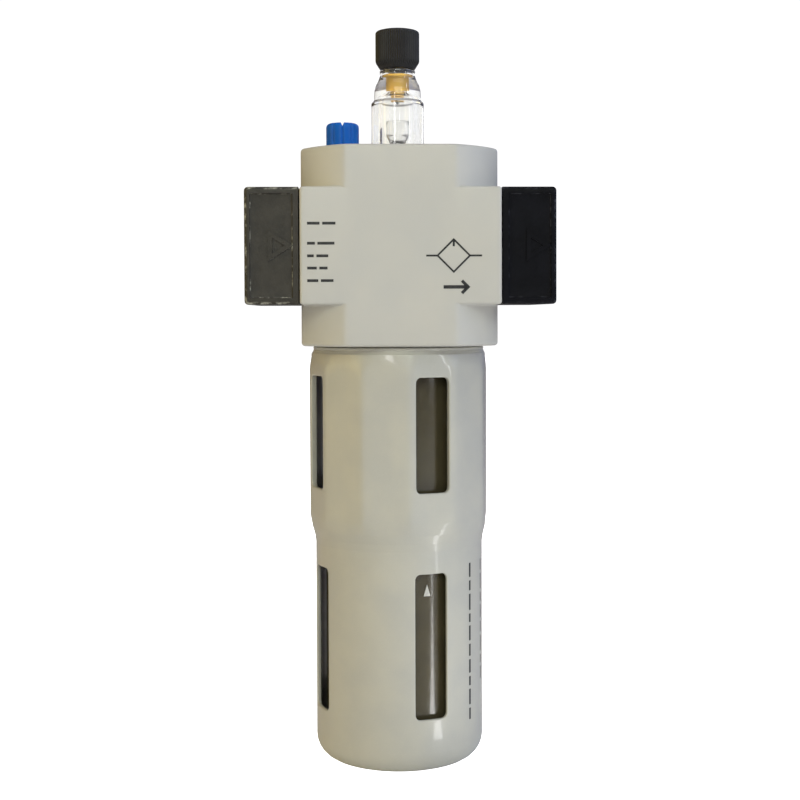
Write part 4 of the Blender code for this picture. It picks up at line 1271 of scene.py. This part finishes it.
@dataclass
class Studio:
    """Floor, camera, soft light and a pale surrounding."""

    distance: float = 419.0 * MM
    azimuth: float = math.radians(-1.7)
    pitch: float = math.radians(1.68)
    roll: float = math.radians(0.2)
    eye_height: float = -18.5 * MM
    lens: float = 64.97
    shift: tuple[float, float] = (0.0022, -0.055)
    strip_turn: float = math.radians(51)
    strip_foot: tuple[float, float] = (8.9 * MM,
                                       -20 * MM)  # the spot on the guard where the floor strip starts
    strip_reach: float = 0.24  # from that spot to the strip's middle
    floor_reach: float = 4.0
    floor_glow: float = 1.6  # only as seen; it lights nothing
    left_tint: str = "#a88640"
    right_tint: str = "#9fb0e0"
    ambient: float = 0.48
    seen_white: float = 1.05

    def camera(self) -> None:
        """The camera, nearly level with the body's foot and a little to the left."""
        data = bpy.data.cameras.new("camera")
        data.lens, data.sensor_width = self.lens, 36.0
        data.shift_x, data.shift_y = self.shift
        data.clip_start, data.clip_end = 0.01, 20.0
        camera = bpy.data.objects.new("camera", data)
        camera.location = (AXIS[0] + self.distance * math.sin(self.azimuth),
                           AXIS[1] - self.distance * math.cos(self.azimuth), self.eye_height)
        camera.rotation_euler = (math.pi / 2 - self.pitch, self.roll, self.azimuth)
        bpy.context.scene.collection.objects.link(camera)
        bpy.context.scene.camera = camera

    def floor_strip(self) -> None:
        """A narrow strip of light along the floor, which draws the upright gleam low on the guard."""
        lamp = area_light("floor_strip", (0.42, 0.01), 0.11)
        lamp.location = (AXIS[0] + self.strip_foot[0] + self.strip_reach * math.sin(self.strip_turn),
                         AXIS[1] + self.strip_foot[1] - self.strip_reach * math.cos(self.strip_turn),
                         CAD_BOX[0][2] + 0.5 * MM)
        lamp.rotation_euler = (math.pi, 0, self.strip_turn - math.pi / 2)
        lamp.visible_camera = False

    def surroundings(self) -> None:
        """White where it is seen; as light, dim and warm on the left and cool on the right."""
        world = bpy.data.worlds.new("surroundings")
        bpy.context.scene.world = world
        world.use_nodes = True
        tree = world.node_tree
        lit = tree.nodes["Background"]
        way = add_node(tree, "ShaderNodeTexCoord").outputs["Generated"]
        across = add_node(tree, "ShaderNodeSeparateXYZ", {0: way}).outputs[0]
        share = add_node(tree, "ShaderNodeMapRange", {"Value": across, "From Min": -1.0, "From Max": 1.0})
        tint = add_node(tree, "ShaderNodeMix", {0: share.outputs["Result"], 6: linear(self.left_tint),
                                                7: linear(self.right_tint)}, data_type="RGBA")
        tree.links.new(tint.outputs[2], lit.inputs["Color"])
        lit.inputs["Strength"].default_value = self.ambient
        seen = add_node(tree, "ShaderNodeBackground",
                        {"Color": linear("#ffffff"), "Strength": self.seen_white})
        path = add_node(tree, "ShaderNodeLightPath").outputs
        ray = add_node(tree, "ShaderNodeMath", {0: path["Is Camera Ray"], 1: path["Is Transmission Ray"]},
                       operation="MAXIMUM").outputs[0]
        both = add_node(tree, "ShaderNodeMixShader", {0: ray, 1: lit.outputs[0], 2: seen.outputs[0]})
        tree.links.new(both.outputs[0], tree.nodes["World Output"].inputs["Surface"])

    def floor(self) -> None:
        """A wide pale floor just under the guard."""
        reach = self.floor_reach
        height = CAD_BOX[0][2] - 0.2 * MM
        corners = np.array([(-reach, -reach, height), (reach, -reach, height), (reach, reach, height),
                            (-reach, reach, height)])
        mesh = bpy.data.meshes.new("floor")
        mesh.from_pydata(corners.tolist(), [], [(0, 1, 2, 3)])
        floor = bpy.data.objects.new("floor", mesh)
        bpy.context.scene.collection.objects.link(floor)
        material = FLOOR_PAPER.make()
        shader = material.node_tree.nodes["Principled BSDF"]
        shader.inputs["Emission Color"].default_value = linear("#ffffff")
        tree = material.node_tree
        ray = add_node(tree, "ShaderNodeLightPath").outputs["Is Camera Ray"]
        glow = add_node(tree, "ShaderNodeMath", {0: ray, 1: self.floor_glow}, operation="MULTIPLY").outputs[0]
        tree.links.new(glow, shader.inputs["Emission Strength"])
        mesh.materials.append(material)

    def build(self) -> None:
        """Sets the studio up."""
        self.camera()
        self.surroundings()
        self.floor()
        for lamp in LAMPS:
            lamp.hang()
        self.floor_strip()
        bpy.context.scene.view_settings.view_transform = "Standard"


def main() -> None:
    """Builds the studio and every sub-assembly."""
    logging.basicConfig(level=logging.INFO, format="%(message)s")
    parts = (Studio(), Housing(), PortPlate(-1), PortPlate(1), SightGlass(), FillerPlug(), Bowl(), Guard(),
             OilRiser(), Printing())
    for part in parts:
        LOG.info("building %s", type(part).__name__)
        part.build()


if __name__ == "__main__":
    main()
